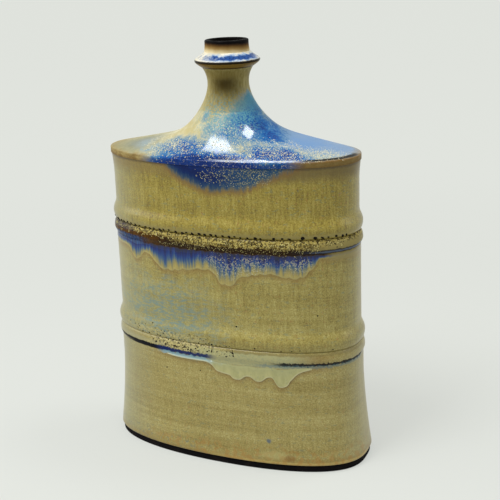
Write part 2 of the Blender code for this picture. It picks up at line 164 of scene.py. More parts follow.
# Rows of the skin of a glaze run: over its face, round its rolled edge and back up behind
FACE_ROWS, ROLL_ROWS, BACK_ROWS = 20.0, 8.0, 5.0
WALL_SEARCH = 0.004
WALL_SEARCH_LENGTH = 0.012
RUN_END_NARROWS, RUN_END_THINS = 0.012, 0.06
FOLD_SIZE = 0.006
WELD, RUN_WELD = 0.000002, 0.000001
SHARP_ANGLE = math.radians(45.0)

# Rows round the beads, the rounded edges, the foot, the dome and the neck
BEAD_STEP_ROWS, BEAD_ROWS, ROUND_ROWS = 10, 14, 6
CHAMFER_ROWS, FOOT_ROWS = 5, 6
DOME_ROWS, NECK_ROWS, COVE_ROWS = 96, 32, 22
DOME_SPACING = 1.25
SOLE_RING_INSET = 0.02

# Share of the throwing marks that shows on each part of the form
STEP_RELIEF, BEAD_RELIEF, RIM_RELIEF = 0.6, 0.4, 0.3
DOME_RELIEF, NECK_RELIEF = 0.35, 0.25
RELIEF_FADE_HEIGHT = 0.02
RIM_SWELL_CURVE = 1.6

# How crystals, specks, pinholes and single pits are strewn and seated
CLUMP_LIMITS = 0.38, 0.62
FULL_SPIN = 6.283
CRYSTAL_FRONT = -60
CRYSTAL_FLATNESS, CRYSTAL_SINK = 0.45, 0.2
SPECK_CORNERS = (-100, -60), (100, 60)
SPECK_FADE, SPECK_SPACING, SPECK_FLATNESS, SPECK_SINK = 0.004, 0.026, 0.4, 0.3
SPECK_SEED_STEP = 5
MARK_STEPS = 2000
PINHOLE_STRAY, PINHOLE_SINK, PINHOLE_SKIP_SEED = 0.0010, 0.30, 21
PIT_SHARE, PIT_GROWTH = 0.55, 0.001

Ring = namedtuple("Ring", "half_length half_depth height roundness relief")


def display(*colour):
    """Linear colour of one that is given in the 0 to 255 steps of a screen."""
    shares = [step / 255.0 for step in colour]
    return tuple(v / 12.92 if v <= 0.04045 else ((v + 0.055) / 1.055) ** 2.4 for v in shares)


def colour_property(name, description, red, green, blue):
    """A colour that the user can change."""
    return FloatVectorProperty(
        name=name, description=description, subtype="COLOR", size=3, min=0.0, max=1.0,
        default=display(red, green, blue),
    )


def length_property(name, description, default):
    """A length that the user can change."""
    return FloatProperty(
        name=name, description=description, default=default, min=0.0, subtype="DISTANCE",
        unit="LENGTH", precision=5,
    )


def share_property(name, description, default):
    """A share between nothing and all."""
    return FloatProperty(
        name=name, description=description, default=default, min=0.0, max=1.0, subtype="FACTOR",
    )


def strength_property(name, description, default):
    """Strength of a light."""
    return FloatProperty(name=name, description=description, default=default, min=0.0)


def count_property(name, description, default, low=0):
    """A whole number."""
    return IntProperty(name=name, description=description, default=default, min=low)


class FormSizes(PropertyGroup):
    """How finely the clay form is made, and the marks of the throwing on it."""

    body_columns: count_property("Body columns", "Columns round the oval body", 480, 48)
    neck_columns: count_property("Neck columns", "Columns round the neck and mouth", 192, 24)
    row_height: length_property("Row height", "Height of one row of a plain wall", 0.0008)
    line_depth: length_property("Throwing line depth", "Depth of the throwing lines", 0.00009)
    line_spacing: length_property("Throwing line spacing", "Height of a throwing line", 0.0042)
    wobble_depth: length_property("Wobble", "How far the hand-built wall strays", 0.00028)
    wobble_size: length_property("Wobble size", "Length of one stray of the wall", 0.045)
    seed: count_property("Seed", "Start of the random marks", 7)


class GlazeRunSizes(PropertyGroup):
    """Sizes of the thick glaze that ran down from the beads."""

    upper_length: length_property("Upper run", "Longest drip of the cobalt run", 0.0220)
    lower_length: length_property("Lower run", "Longest drip of the pale run", 0.0145)
    pool_depth: length_property("Pool depth", "How far the pool hangs under the rim", 0.0200)
    upper_thickness: length_property("Cobalt run thickness", "Thickness at its edge", 0.00042)
    lower_thickness: length_property("Pale run thickness", "Thickness at its edge", 0.00070)
    roll_width: length_property("Edge roll", "Width of the rolled lower edge", 0.0010)
    sink: length_property("Sink", "How far a run is let into the wall", 0.00015)
    scallop: share_property("Scallops", "Depth of the small scallops on the cobalt run", 0.08)
    columns: count_property("Columns", "Columns across a run", 560, 24)


class GlazeColours(PropertyGroup):
    """Colours of the clay and of the glazes."""

    fleck: colour_property("Blue-green fleck", "Cool flecks in the body glaze", 78, 112, 104)
    rust: colour_property("Rust fleck", "Warm flecks in the body glaze", 150, 98, 48)
    cream: colour_property("Cream", "Cream glaze of the shoulder", 206, 200, 166)
    pale_blue: colour_property("Pale blue", "Glaze between cream and blue", 90, 130, 174)
    blue: colour_property("Blue", "Blue glaze on the shoulder", 6, 92, 152)
    cobalt: colour_property("Cobalt", "Thick cobalt glaze", 0, 60, 132)
    navy: colour_property("Navy", "Darkest glaze in the pools", 0, 36, 98)
    teal: colour_property("Teal", "Blue-green on the neck", 90, 146, 154)
    amber: colour_property("Amber", "Thin brown glaze above the cobalt", 82, 53, 12)
    burnt: colour_property("Burnt", "Black-brown where the glaze is thinnest", 34, 25, 18)
    crystal: colour_property("Crystal", "Cream crystals", 202, 196, 158)
    pale_run: colour_property("Pale run", "Pale green-cream run", 174, 170, 116)
    halo: colour_property("Halo", "Rust-brown under a run's edge", 120, 88, 34)
    clay: colour_property("Bare clay", "Dark unglazed foot", 9, 7, 9)
    coat_roughness: share_property("Gloss roughness", "Roughness of the glassy coat", 0.08)


class SpeckSettings(PropertyGroup):
    """Crystals, pinholes and iron specks."""

    crystal_size: length_property("Crystal size", "Half width of a cream crystal", 0.00042)
    pinhole_size: length_property("Pinhole size", "Half width of a pinhole", 0.00180)
    pinhole_spacing: length_property("Pinhole spacing", "Space between pinholes", 0.0042)
    speck_size: length_property("Speck size", "Half width of an iron speck", 0.00042)
    seed: count_property("Seed", "Start of the random places", 3)


class StageSettings(PropertyGroup):
    """Floor, lights and camera."""

    floor: colour_property("Floor", "Pale floor and background", 226, 229, 223)
    sky: strength_property("Sky", "Strength of the even light", 0.42)
    overhead: strength_property("Overhead", "Soft light above, in watts", 5.0)
    window: strength_property("Window", "Front light, in watts", 16.5)
    lamp: strength_property("Lamp", "Small light at the right, in watts", 6.0)
    left_fill: strength_property("Left fill", "Broad left light, in watts", 12.0)
    right_fill: strength_property("Right fill", "Broad right light, in watts", 4.5)
    lens: FloatProperty(name="Lens", description="Focal length in mm", default=69.832, min=1.0)


class Value:
    """An output of a node. Sums on it add nodes to the same tree."""

    def __init__(self, wiring, socket):
        self.wiring, self.socket = wiring, socket

    def __add__(self, other):
        return self.wiring.math("ADD", self, other)

    def __radd__(self, other):
        return self.wiring.math("ADD", other, self)

    def __sub__(self, other):
        return self.wiring.math("SUBTRACT", self, other)

    def __rsub__(self, other):
        return self.wiring.math("SUBTRACT", other, self)

    def __mul__(self, other):
        return self.wiring.math("MULTIPLY", self, other)

    def __rmul__(self, other):
        return self.wiring.math("MULTIPLY", other, self)

    def __truediv__(self, other):
        return self.wiring.math("DIVIDE", self, other)

    def __rtruediv__(self, other):
        return self.wiring.math("DIVIDE", other, self)

    def __abs__(self):
        return self.wiring.math("ABSOLUTE", self)


class Wiring:
    """Adds nodes to a tree and joins them, for shaders and shapes alike."""

    def __init__(self, tree):
        self.tree = tree
        self.point = None

    def join(self, value, socket):
        """Wires an output to a socket, or writes a plain value on it."""
        if isinstance(value, Value):
            self.tree.links.new(value.socket, socket)
        else:
            socket.default_value = value

    def put(self, kind, inputs=None, **settings):
        """A node with its settings and inputs, which go by name or by number."""
        node = self.tree.nodes.new(kind)
        for name, value in settings.items():
            setattr(node, name, value)
        for name, value in (inputs or {}).items():
            self.join(value, node.inputs[name])
        return node

    def get(self, kind, inputs=None, key=0, **settings):
        """One output of a new node."""
        return Value(self, self.put(kind, inputs, **settings).outputs[key])

    def group(self, name, make, **inputs):
        """Outputs of a named group, made once. Input names have underscores for spaces."""
        tree = grouped(name, make)
        kind = "GeometryNodeGroup" if tree.bl_idname == "GeometryNodeTree" else "ShaderNodeGroup"
        node = self.put(kind, node_tree=tree)
        for label, value in inputs.items():
            self.join(value, node.inputs[label.replace("_", " ")])
        return [Value(self, socket) for socket in node.outputs]

    def output(self, **values):
        """Ends a group with these values as its outputs."""
        for label, value in values.items():
            kind = SOCKETS[value.socket.type]
            label = label.replace("_", " ")
            self.tree.interface.new_socket(label, in_out="OUTPUT", socket_type=kind)
        self.put("NodeGroupOutput", dict(enumerate(values.values())))
        return self.tree

    def math(self, operation, *values, clamp=False):
        """Result of a sum on plain numbers."""
        inputs = dict(enumerate(values))
        return self.get("ShaderNodeMath", inputs, operation=operation, use_clamp=clamp)

    def most(self, *values):
        """The greatest of some numbers."""
        greatest = values[0]
        for value in values[1:]:
            greatest = self.math("MAXIMUM", greatest, value)
        return greatest

    def vector(self, operation, *values):
        """Result of a sum on vectors."""
        key = 1 if operation == "LENGTH" else 0
        inputs = dict(enumerate(values))
        return self.get("ShaderNodeVectorMath", inputs, key, operation=operation)

    def scaled(self, vector, amount):
        """A vector times a number."""
        return self.get("ShaderNodeVectorMath", {0: vector, 3: amount}, operation="SCALE")

    def parts(self, vector):
        """The three numbers of a vector."""
        outputs = self.put("ShaderNodeSeparateXYZ", {0: vector}).outputs
        return [Value(self, socket) for socket in outputs]

    def place(self, x, y, z):
        """A vector of three numbers."""
        return self.get("ShaderNodeCombineXYZ", {0: x, 1: y, 2: z})

    def between(self, value, low, high, smooth=True):
        """How far a value has gone from low to high, from 0 to 1, gently if smooth."""
        kind = "SMOOTHSTEP" if smooth else "LINEAR"
        return self.get("ShaderNodeMapRange", {0: value, 1: low, 2: high}, interpolation_type=kind)

    def mix(self, share, first, second):
        """A number between two others."""
        return self.get("ShaderNodeMix", {0: share, 2: first, 3: second})

    def paint(self, share, under, over):
        """One colour laid over another by a share."""
        inputs = {0: share, 6: linear(under), 7: linear(over)}
        return self.get("ShaderNodeMix", inputs, 2, data_type="RGBA")

    def noise(self, size, stretch=None, detail=2.0, seed=None, roughness=0.5, point=None):
        """Cloudy noise whose patches are about size metres, longer where stretch is less."""
        point = point or self.point
        if stretch:
            point = self.vector("MULTIPLY", point, stretch)
        inputs = {"Vector": point, "Scale": 1.0 / size, "Detail": detail, "Roughness": roughness}
        if seed is None:
            return self.get("ShaderNodeTexNoise", inputs)
        return self.get("ShaderNodeTexNoise", {**inputs, "W": seed}, noise_dimensions="4D")

    def run_curve(self, share, marks, scallop=0.0):
        """Falls of a glaze edge along a share of the body's length, with a share of scallops."""
        node = self.put("ShaderNodeFloatCurve", {1: share})
        curve = node.mapping.curves[0]
        places = [((place + 1.0) / 2.0, fall) for place, fall in marks]
        curve.points[0].location = places[0]
        curve.points[1].location = places[-1]
        for place in places[1:-1]:
            curve.points.new(*place)
        for mark in curve.points:
            mark.handle_type = "AUTO_CLAMPED"
        node.mapping.extend = "HORIZONTAL"
        node.mapping.update()
        fall = Value(self, node.outputs[0])
        if not scallop:
            return fall
        sway = self.math("SINE", share * SCALLOP_SWAY_TURNS) * 0.9
        wave = self.math("SINE", self.math("MULTIPLY_ADD", share, SCALLOP_TURNS, sway))
        return fall * self.math("MULTIPLY_ADD", abs(wave), scallop, 1.0 - scallop * 0.7)

    def ramp(self, share, *stops):
        """Colours along a share."""
        node = self.put("ShaderNodeValToRGB", {0: share})
        elements = node.color_ramp.elements
        while len(elements) < len(stops):
            elements.new(0.5)
        for element, (place, colour) in zip(elements, stops):
            element.position = place
            element.color = linear(colour)
        return Value(self, node.outputs[0])

    def patch(self, centre, reach, softness=0.5, ragged=0.3, grain=0.003):
        """Mask of a patch, with its places in millimetres."""
        return self.group(
            "Glaze patch", patch_group, Point=self.point, Centre=metres(centre),
            Reach=metres(reach), Softness=softness, Ragged=ragged, Grain=grain,
        )[0]

    def band(self, low, high, left=-200.0, right=200.0, soft=0.5, end_soft=5.0, ragged=0.3,
             grain=0.002):
        """Mask of a band between two heights, in millimetres."""
        low, high, left, right, soft, end_soft, ragged = metres(
            (low, high, left, right, soft, end_soft, ragged)
        )
        return self.group(
            "Glaze band", band_group, Point=self.point, Low=low, High=high, Left=left,
            Right=right, Softness=soft, End_Softness=end_soft, Ragged=ragged, Grain=grain,
        )[0]

    def crystals(self, cover, grain=0.001):
        """Mask of a speckle of crystals."""
        return self.group(
            "Crystal speckle", crystal_group, Point=self.point, Cover=cover, Grain=grain
        )[0]


SOCKETS = {
    "VALUE": "NodeSocketFloat", "VECTOR": "NodeSocketVector", "RGBA": "NodeSocketColor",
    "GEOMETRY": "NodeSocketGeometry",
}


def metres(values):
    """Some lengths that are given in millimetres."""
    return tuple(value / 1000.0 for value in values)


def linear(colour):
    """A colour for a socket: a wire, a linear colour, a colour setting's name or screen steps."""
    if isinstance(colour, str):
        return (*getattr(bpy.context.scene.vase_colours, colour), 1.0)
    if isinstance(colour, Value) or len(colour) == 4:
        return colour
    return (*display(*colour), 1.0)


def socket_type(value):
    """Kind of socket that holds a value."""
    if isinstance(value, str):
        return "NodeSocket" + value
    if isinstance(value, int):
        return "NodeSocketInt"
    if isinstance(value, float):
        return "NodeSocketFloat"
    return "NodeSocketVector" if len(value) == 3 else "NodeSocketColor"


def new_tree(kind, name, **inputs):
    """The wiring of a new node group, and its inputs, whose names have spaces."""
    tree = bpy.data.node_groups.new(name, kind)
    for label, value in inputs.items():
        label = label.replace("_", " ")
        socket = tree.interface.new_socket(label, in_out="INPUT", socket_type=socket_type(value))
        if not isinstance(value, str):
            socket.default_value = value
    wiring = Wiring(tree)
    start = {socket.name: Value(wiring, socket) for socket in wiring.put("NodeGroupInput").outputs}
    wiring.point = start.get("Point")
    return wiring, start


def shape_tree(name, **inputs):
    """The wiring and inputs of a tree that makes geometry from a starting mesh."""
    return new_tree("GeometryNodeTree", name, Geometry="Geometry", **inputs, Material="Material")


def grouped(name, make):
    """The node group of that name, made once."""
    return bpy.data.node_groups.get(name) or make(name)


def oval_point_tree(name):
    """Point of the body's oval, which turns from a full oval into a circle."""
    wiring, start = new_tree(
        "GeometryNodeTree", name, Half_Length=0.08, Half_Depth=0.04, Height=0.0, Roundness=0.0,
        Angle=0.0, Length_Curve=LENGTH_CURVE, Foot_Curve=FOOT_DEPTH_CURVE,
        Rim_Curve=RIM_DEPTH_CURVE, Rim_Height=RIM_TOP,
    )
    climbed = wiring.math("DIVIDE", start["Height"], start["Rim Height"], clamp=True)
    depth_curve = wiring.mix(climbed, start["Foot Curve"], start["Rim Curve"])
    reach = []
    for turn, half, curve in (
        ("COSINE", start["Half Length"], start["Length Curve"]),
        ("SINE", start["Half Depth"], depth_curve),
    ):
        curve = wiring.mix(start["Roundness"], curve, 2.0)
        swing = wiring.math(turn, start["Angle"])
        size = wiring.math("POWER", abs(swing), 2.0 / curve)
        reach.append(wiring.math("SIGN", swing) * size * half)
    return wiring.output(Point=wiring.place(reach[0], reach[1], start["Height"]))


def thrown_relief_tree(name):
    """How far a thrown wall stands out at a point: throwing lines and a slow wobble."""
    wiring, start = new_tree(
        "GeometryNodeTree", name, Point=(0.0, 0.0, 0.0), Line_Depth=0.0001, Line_Spacing=0.004,
        Wobble_Depth=0.0002, Wobble_Size=0.05, Seed=0,
    )
    strays = []
    for size, depth, stretch, seed in (
        ("Line Spacing", "Line Depth", (0.06, 0.06, 1.0), 0.0),
        ("Wobble Size", "Wobble Depth", (1.0, 1.0, 0.8), 9.0),
    ):
        stray = wiring.noise(start[size], stretch, 1.0, start["Seed"] + seed)
        strays.append(wiring.math("MULTIPLY_ADD", stray, 2.0, -1.0) * start[depth])
    return wiring.output(Offset=strays[0] + strays[1])


def finish_tree(wiring, geometry, start):
    """Ends a shape tree: real geometry, smooth, in its material."""
    real = wiring.get("GeometryNodeRealizeInstances", {"Geometry": geometry})
    smooth = wiring.get("GeometryNodeSetShadeSmooth", {"Geometry": real})
    painted = {"Geometry": smooth, "Material": start["Material"]}
    return wiring.output(Geometry=wiring.get("GeometryNodeSetMaterial", painted))


def grid_places(wiring, rows, columns):
    """A grid with that many rows and columns of corners, and the row and column of each."""
    grid = wiring.get("GeometryNodeMeshGrid", {"Vertices X": rows, "Vertices Y": columns})
    index = wiring.get("GeometryNodeInputIndex")
    row = wiring.math("FLOOR", (index + 0.5) / columns)
    return grid, row, index - row * columns


def placed_skin(wiring, grid, places, weld):
    """A grid put in its place, with corners that meet made one."""
    placed = wiring.get("GeometryNodeSetPosition", {"Geometry": grid, "Position": places})
    return wiring.get("GeometryNodeMergeByDistance", {"Geometry": placed, "Distance": weld})


def named_number(wiring, label, kind="FLOAT"):
    """An attribute by its name."""
    return wiring.get("GeometryNodeInputNamedAttribute", {0: label}, data_type=kind)


def mesh_of(wiring, item):
    """Geometry of the object on an input, in the shared frame."""
    return wiring.get("GeometryNodeObjectInfo", {0: item}, "Geometry", transform_space="RELATIVE")


def random_vector(wiring, low, high, seed):
    """A vector between two others at each point."""
    inputs = {0: low, 1: high, "Seed": seed}
    return wiring.get("FunctionNodeRandomValue", inputs, data_type="FLOAT_VECTOR")


def clay_section_tree(name):
    """Turns a line of oval half sizes into a clay section, with the marks of throwing on it."""
    wiring, start = shape_tree(
        name, Columns=48, Closed=1, Line_Depth=0.0001, Line_Spacing=0.004, Wobble_Depth=0.0002,
        Wobble_Size=0.05, Seed=0,
    )
    line = start["Geometry"]
    count = wiring.get("GeometryNodeAttributeDomainSize", {"Geometry": line})
    grid, row, column = grid_places(wiring, count + start["Closed"], start["Columns"] + 1.0)
    ring = wiring.math("FLOOR", wiring.math("MODULO", row + 0.5, count))
    place = wiring.get("GeometryNodeInputPosition")

    def sample(value, kind):
        """A number or vector of the line at the row's ring."""
        inputs = {0: line, "Value": value, "Index": ring}
        return wiring.get("GeometryNodeSampleIndex", inputs, data_type=kind)

    half_length, half_depth, height = wiring.parts(sample(place, "FLOAT_VECTOR"))
    roundness, relief = (
        sample(named_number(wiring, label), "FLOAT") for label in ("roundness", "relief")
    )
    turn = column / start["Columns"] * (2.0 * math.pi)
    oval = wiring.group(
        "Oval point", oval_point_tree, Half_Length=half_length, Half_Depth=half_depth,
        Height=height, Roundness=roundness, Angle=turn,
    )
    inputs = {"Geometry": grid, "Name": "relief", "Value": relief}
    stored = wiring.get("GeometryNodeStoreNamedAttribute", inputs, data_type="FLOAT")
    merged = placed_skin(wiring, stored, oval[0], WELD)
    outward = wiring.get("GeometryNodeFlipFaces", {0: merged})
    marks = wiring.group(
        "Thrown relief", thrown_relief_tree, Point=place, Line_Depth=start["Line Depth"],
        Line_Spacing=start["Line Spacing"], Wobble_Depth=start["Wobble Depth"],
        Wobble_Size=start["Wobble Size"], Seed=start["Seed"],
    )
    amount = marks[0] * named_number(wiring, "relief")
    offset = wiring.scaled(wiring.get("GeometryNodeInputNormal"), amount)
    thrown = wiring.get("GeometryNodeSetPosition", {"Geometry": outward, "Offset": offset})
    clean = wiring.get("GeometryNodeRemoveAttribute", {"Geometry": thrown, "Name": "relief"})
    return finish_tree(wiring, clean, start)


def glaze_run_tree(name, marks, scallop):
    """A skin of thick glaze laid on a wall, from a bead down to a rolled, scalloped edge."""
    wiring, start = shape_tree(
        name, Wall="Object", Columns=100, Start_Angle=3.2, End_Angle=6.0, Top=0.1,
        Run_Length=0.02, Thickness=0.0005, Sink=0.0001, Roll_Width=0.001, Half_Length=0.08,
        Half_Depth=0.04,
    )
    half_length, half_depth, top = start["Half Length"], start["Half Depth"], start["Top"]
    rows = int(FACE_ROWS + ROLL_ROWS + BACK_ROWS) + 1
    grid, row, column = grid_places(wiring, rows, start["Columns"] + 1.0)
    across = column / start["Columns"]
    angle = wiring.mix(across, start["Start Angle"], start["End Angle"])

    def oval(height, growth=0.0):
        """Point of the wall's oval at this column."""
        length, depth = half_length, half_depth
        if growth:
            length, depth = half_length + growth, half_depth + growth
        return wiring.group(
            "Oval point", oval_point_tree, Half_Length=length, Half_Depth=depth, Height=height,
            Angle=angle,
        )[0]

    at_top = oval(top)
    place = wiring.parts(at_top)[0] / half_length
    fall = wiring.run_curve(wiring.math("MULTIPLY_ADD", place, 0.5, 0.5), marks, scallop)
    from_end = wiring.math("MINIMUM", across, 1.0 - across)
    drop = fall * start["Run Length"] * wiring.between(from_end, 0.0, RUN_END_NARROWS)
    edge_roll = wiring.math("MINIMUM", start["Roll Width"], drop * 0.45)
    face = wiring.math("DIVIDE", row, FACE_ROWS, clamp=True)
    roll = wiring.math("DIVIDE", row - FACE_ROWS, ROLL_ROWS, clamp=True)
    back = wiring.math("DIVIDE", row - (FACE_ROWS + ROLL_ROWS), BACK_ROWS, clamp=True)
    turn = roll * (math.pi / 2.0)
    fallen = wiring.math(
        "MULTIPLY_ADD", wiring.math("SINE", turn), edge_roll, (drop - edge_roll) * face
    )
    height = top - fallen * (1.0 - back)
    swell = wiring.math("MULTIPLY_ADD", wiring.math("POWER", face, 2.0), 0.45, 0.55)
    swell = swell * wiring.between(face, 0.0, 0.3) * wiring.math("COSINE", turn)
    folds = wiring.noise(FOLD_SIZE, (1.0, 1.0, 0.0), 1.0, 4.0, point=at_top)
    thickness = wiring.between(from_end, 0.0, RUN_END_THINS) * start["Thickness"]
    swell = swell * wiring.math("MULTIPLY_ADD", folds, 0.7, 0.65) * thickness
    outside, inside = oval(height, WALL_SEARCH), oval(height, -WALL_SEARCH)
    inward = wiring.vector("NORMALIZE", wiring.vector("SUBTRACT", inside, outside))
    inputs = {
        "Target Geometry": mesh_of(wiring, start["Wall"]), "Source Position": outside,
        "Ray Direction": inward, "Ray Length": WALL_SEARCH_LENGTH,
    }
    hit = wiring.get("GeometryNodeRaycast", inputs, "Hit Position")
    lifted = wiring.vector("SUBTRACT", hit, wiring.scaled(inward, swell - start["Sink"]))
    return finish_tree(wiring, placed_skin(wiring, grid, lifted, RUN_WELD), start)


def crystals_tree(name):
    """Small flat crystals strewn over the part of a piece that lies between two corners."""
    wiring, start = shape_tree(
        name, Bed="Object", Low_Corner=(0.0, 0.0, 0.0), High_Corner=(0.1, 0.1, 0.1), Fade=0.002,
        Spacing=0.001, Clumps=0.5, Clump_Size=0.004, Grain_Size=0.0004, Flatness=0.5, Sink=0.3,
        Seed=0,
    )
    wiring.point = wiring.get("GeometryNodeInputPosition")
    cover, fade = 1.0, start["Fade"]
    corners = wiring.parts(start["Low Corner"]), wiring.parts(start["High Corner"])
    for value, low, high in zip(wiring.parts(wiring.point), *corners):
        inside = wiring.between(value, low, low + fade)
        cover = cover * (inside * wiring.between(value, high, high - fade))
    clump = wiring.between(wiring.noise(start["Clump Size"]), *CLUMP_LIMITS)
    clump = wiring.mix(start["Clumps"], 1.0, clump)
    density = cover * clump * wiring.math("POWER", 1.0 / start["Spacing"], 2.0)
    inputs = {
        "Mesh": mesh_of(wiring, start["Bed"]), "Density": density, "Seed": start["Seed"],
    }
    points = wiring.put(
        "GeometryNodeDistributePointsOnFaces", inputs, distribute_method="RANDOM"
    ).outputs
    places, normal, rotation = (
        Value(wiring, points[key]) for key in ("Points", "Normal", "Rotation")
    )
    sunk = wiring.scaled(normal, start["Grain Size"] * start["Sink"] * -1.0)
    seated = wiring.get("GeometryNodeSetPosition", {"Geometry": places, "Offset": sunk})
    grain = wiring.get("GeometryNodeMeshIcoSphere", {"Radius": 1.0, "Subdivisions": 1})
    sizes = random_vector(wiring, (0.35, 0.35, 0.7), (1.7, 1.1, 1.2), start["Seed"])
    flat = wiring.place(1.0, 1.0, start["Flatness"])
    size = wiring.vector("MULTIPLY", wiring.scaled(sizes, start["Grain Size"]), flat)
    inputs = {2: 0.0, 3: FULL_SPIN, "Seed": start["Seed"]}
    spin = wiring.get("FunctionNodeRandomValue", inputs, 1, data_type="FLOAT")
    inputs = {0: rotation, 1: wiring.place(0.0, 0.0, spin)}
    turned = wiring.get("FunctionNodeRotateRotation", inputs, rotation_space="LOCAL")
    inputs = {"Points": seated, "Instance": grain, "Scale": size, "Rotation": turned}
    return finish_tree(wiring, wiring.get("GeometryNodeInstanceOnPoints", inputs), start)


def pinholes_tree(name):
    """Dark pinholes of uneven size, seated on a wall close to the marks they are given."""
    wiring, start = shape_tree(
        name, Wall="Object", Hole_Size=0.0008, Stray=0.001, Sink=0.5, Left_Out=0.2, Seed=0,
    )
    points = wiring.get("GeometryNodeMeshToPoints", {"Mesh": start["Geometry"]})
    stray = random_vector(wiring, (-1.0, -1.0, -0.6), (1.0, 1.0, 0.6), start["Seed"])
    place = wiring.get("GeometryNodeInputPosition")
    strayed = wiring.vector("ADD", place, wiring.scaled(stray, start["Stray"]))
    found = []
    for value in (place, wiring.get("GeometryNodeInputNormal")):
        inputs = {
            "Mesh": mesh_of(wiring, start["Wall"]), "Value": value, "Sample Position": strayed,
        }
        kind = "GeometryNodeSampleNearestSurface"
        found.append(wiring.get(kind, inputs, data_type="FLOAT_VECTOR"))
    depth = start["Hole Size"] * start["Sink"] * -1.0
    seat_point = wiring.vector("ADD", found[0], wiring.scaled(found[1], depth))
    inputs = {"Geometry": points, "Name": "outward", "Value": found[1]}
    captured = wiring.get("GeometryNodeStoreNamedAttribute", inputs, data_type="FLOAT_VECTOR")
    inputs = {"Geometry": captured, "Position": seat_point}
    seated = wiring.get("GeometryNodeSetPosition", inputs)
    skip = wiring.get("FunctionNodeRandomValue", {"Seed": PINHOLE_SKIP_SEED}, 1, data_type="FLOAT")
    skipped = wiring.math("LESS_THAN", skip, start["Left Out"])
    inputs = {"Geometry": seated, "Selection": skipped}
    kept = wiring.get("GeometryNodeDeleteGeometry", inputs, domain="POINT")
    sizes = random_vector(wiring, (0.45, 0.45, 0.5), (1.0, 0.9, 0.55), start["Seed"])
    outward = named_number(wiring, "outward", "FLOAT_VECTOR")
    inputs = {
        "Points": kept,
        "Instance": wiring.get("GeometryNodeMeshIcoSphere", {"Radius": 1.0, "Subdivisions": 2}),
        "Scale": wiring.scaled(sizes, start["Hole Size"]),
        "Rotation": wiring.get("FunctionNodeAlignRotationToVector", {"Vector": outward}, axis="Z"),
    }
    return finish_tree(wiring, wiring.get("GeometryNodeInstanceOnPoints", inputs), start)


def shaped_piece(name, tree, start_mesh, sharp=False, **values):
    """Runs a shape tree over a starting mesh, and keeps what it makes as a plain mesh."""
    piece = bpy.data.objects.new(name, start_mesh)
    bpy.context.scene.collection.objects.link(piece)
    modifier = piece.modifiers.new(tree.name, "NODES")
    modifier.node_group = tree
    for item in tree.interface.items_tree:
        label = item.name.replace(" ", "_")
        if item.in_out == "INPUT" and label in values:
            modifier[item.identifier] = values[label]
    graph = bpy.context.evaluated_depsgraph_get()
    mesh = bpy.data.meshes.new_from_object(piece.evaluated_get(graph), depsgraph=graph)
    piece.modifiers.remove(modifier)
    piece.data = mesh
    mesh.name = name
    bpy.data.meshes.remove(start_mesh)
    if not len(mesh.polygons):
        raise RuntimeError(name + " came out empty")
    if sharp:
        mesh.set_sharp_from_angle(angle=SHARP_ANGLE)
    return piece


def seat(piece, slot, *nodes):
    """Lets a finished piece ride on the vase, in place of its nodes. The slot is not used."""
    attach(piece, "root")
    if nodes:
        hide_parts(*nodes)


def section_line(name, rings):
    """The line of oval half sizes that a clay section is turned from."""
    mesh = bpy.data.meshes.new(name + "_line")
    places = [(ring.half_length, ring.half_depth, ring.height) for ring in rings]
    mesh.from_pydata(places, [(i, i + 1) for i in range(len(places) - 1)], [])
    for label in ("roundness", "relief"):
        values = [getattr(ring, label) for ring in rings]
        mesh.attributes.new(label, "FLOAT", "POINT").data.foreach_set("value", values)
    return mesh


def clay_section(name, rings, material, columns, closed=True):
    """A clay section from its rings, outside first and upwards."""
    form = bpy.context.scene.vase_form
    return shaped_piece(
        name, grouped("Clay section", clay_section_tree), section_line(name, rings),
        sharp=True, Columns=columns, Closed=int(closed), Line_Depth=form.line_depth,
        Line_Spacing=form.line_spacing, Wobble_Depth=form.wobble_depth,
        Wobble_Size=form.wobble_size, Seed=form.seed, Material=material,
    )


def mix(first, second, share):
    """A value between two others."""
    return first + (second - first) * share


def ease(share):
    """A share that starts and stops gently."""
    return (1.0 - math.cos(math.pi * share)) / 2.0


def steps(count):
    """Even shares after 0, up to 1."""
    return [(index + 1) / count for index in range(count)]


def rounding(count):
    """How far each row of a rounded edge is still drawn in, and how far it has risen."""
    turns = [share * math.pi / 2.0 for share in steps(count)]
    return [(1.0 - math.sin(turn), 1.0 - math.cos(turn)) for turn in turns]


def crown(count):
    """How far each row of a quarter circle has gone along, and how far it turned down."""
    along = [math.sin(share * math.pi / 2.0) for share in steps(count)]
    return [(share, 1.0 - math.sqrt(max(1.0 - share * share, 0.0))) for share in along]


def flare_share(height):
    """How much of the foot's flare is left at a height."""
    climbed = min(max((height - FOOT_HEIGHT) / FOOT_FLARE_HEIGHT, 0.0), 1.0)
    return FLARE_TRIM * (1.0 - climbed) ** FLARE_CURVE


def body_ring(height, growth, flare=0.0, relief=1.0):
    """Ring of the oval body at a height, grown outwards, with a share of the foot's flare."""
    half_length = BODY_HALF_LENGTH + growth + FOOT_FLARE_LENGTH * flare
    half_depth = BODY_HALF_DEPTH + growth + FOOT_FLARE_DEPTH * flare
    return Ring(half_length, half_depth, height, 0.0, relief)


def round_ring(radius, height, relief=0.0):
    """Ring of a turned part."""
    return Ring(radius, radius, height, 1.0, relief)


def moved(ring, height, growth=0.0):
    """The same ring at another height, grown outwards, with no marks on it."""
    half_length, half_depth = ring.half_length + growth, ring.half_depth + growth
    return Ring(half_length, half_depth, height, ring.roundness, 0.0)


def rebate(seam, inner):
    """Top of a lower section: a land, and a step cut down inside it."""
    return [
        moved(inner, seam, LAP_WIDTH + JOINT_GAP),
        moved(inner, seam - LAP_HEIGHT - JOINT_GAP, LAP_WIDTH + JOINT_GAP),
        moved(inner, seam - LAP_HEIGHT - JOINT_GAP),
    ]


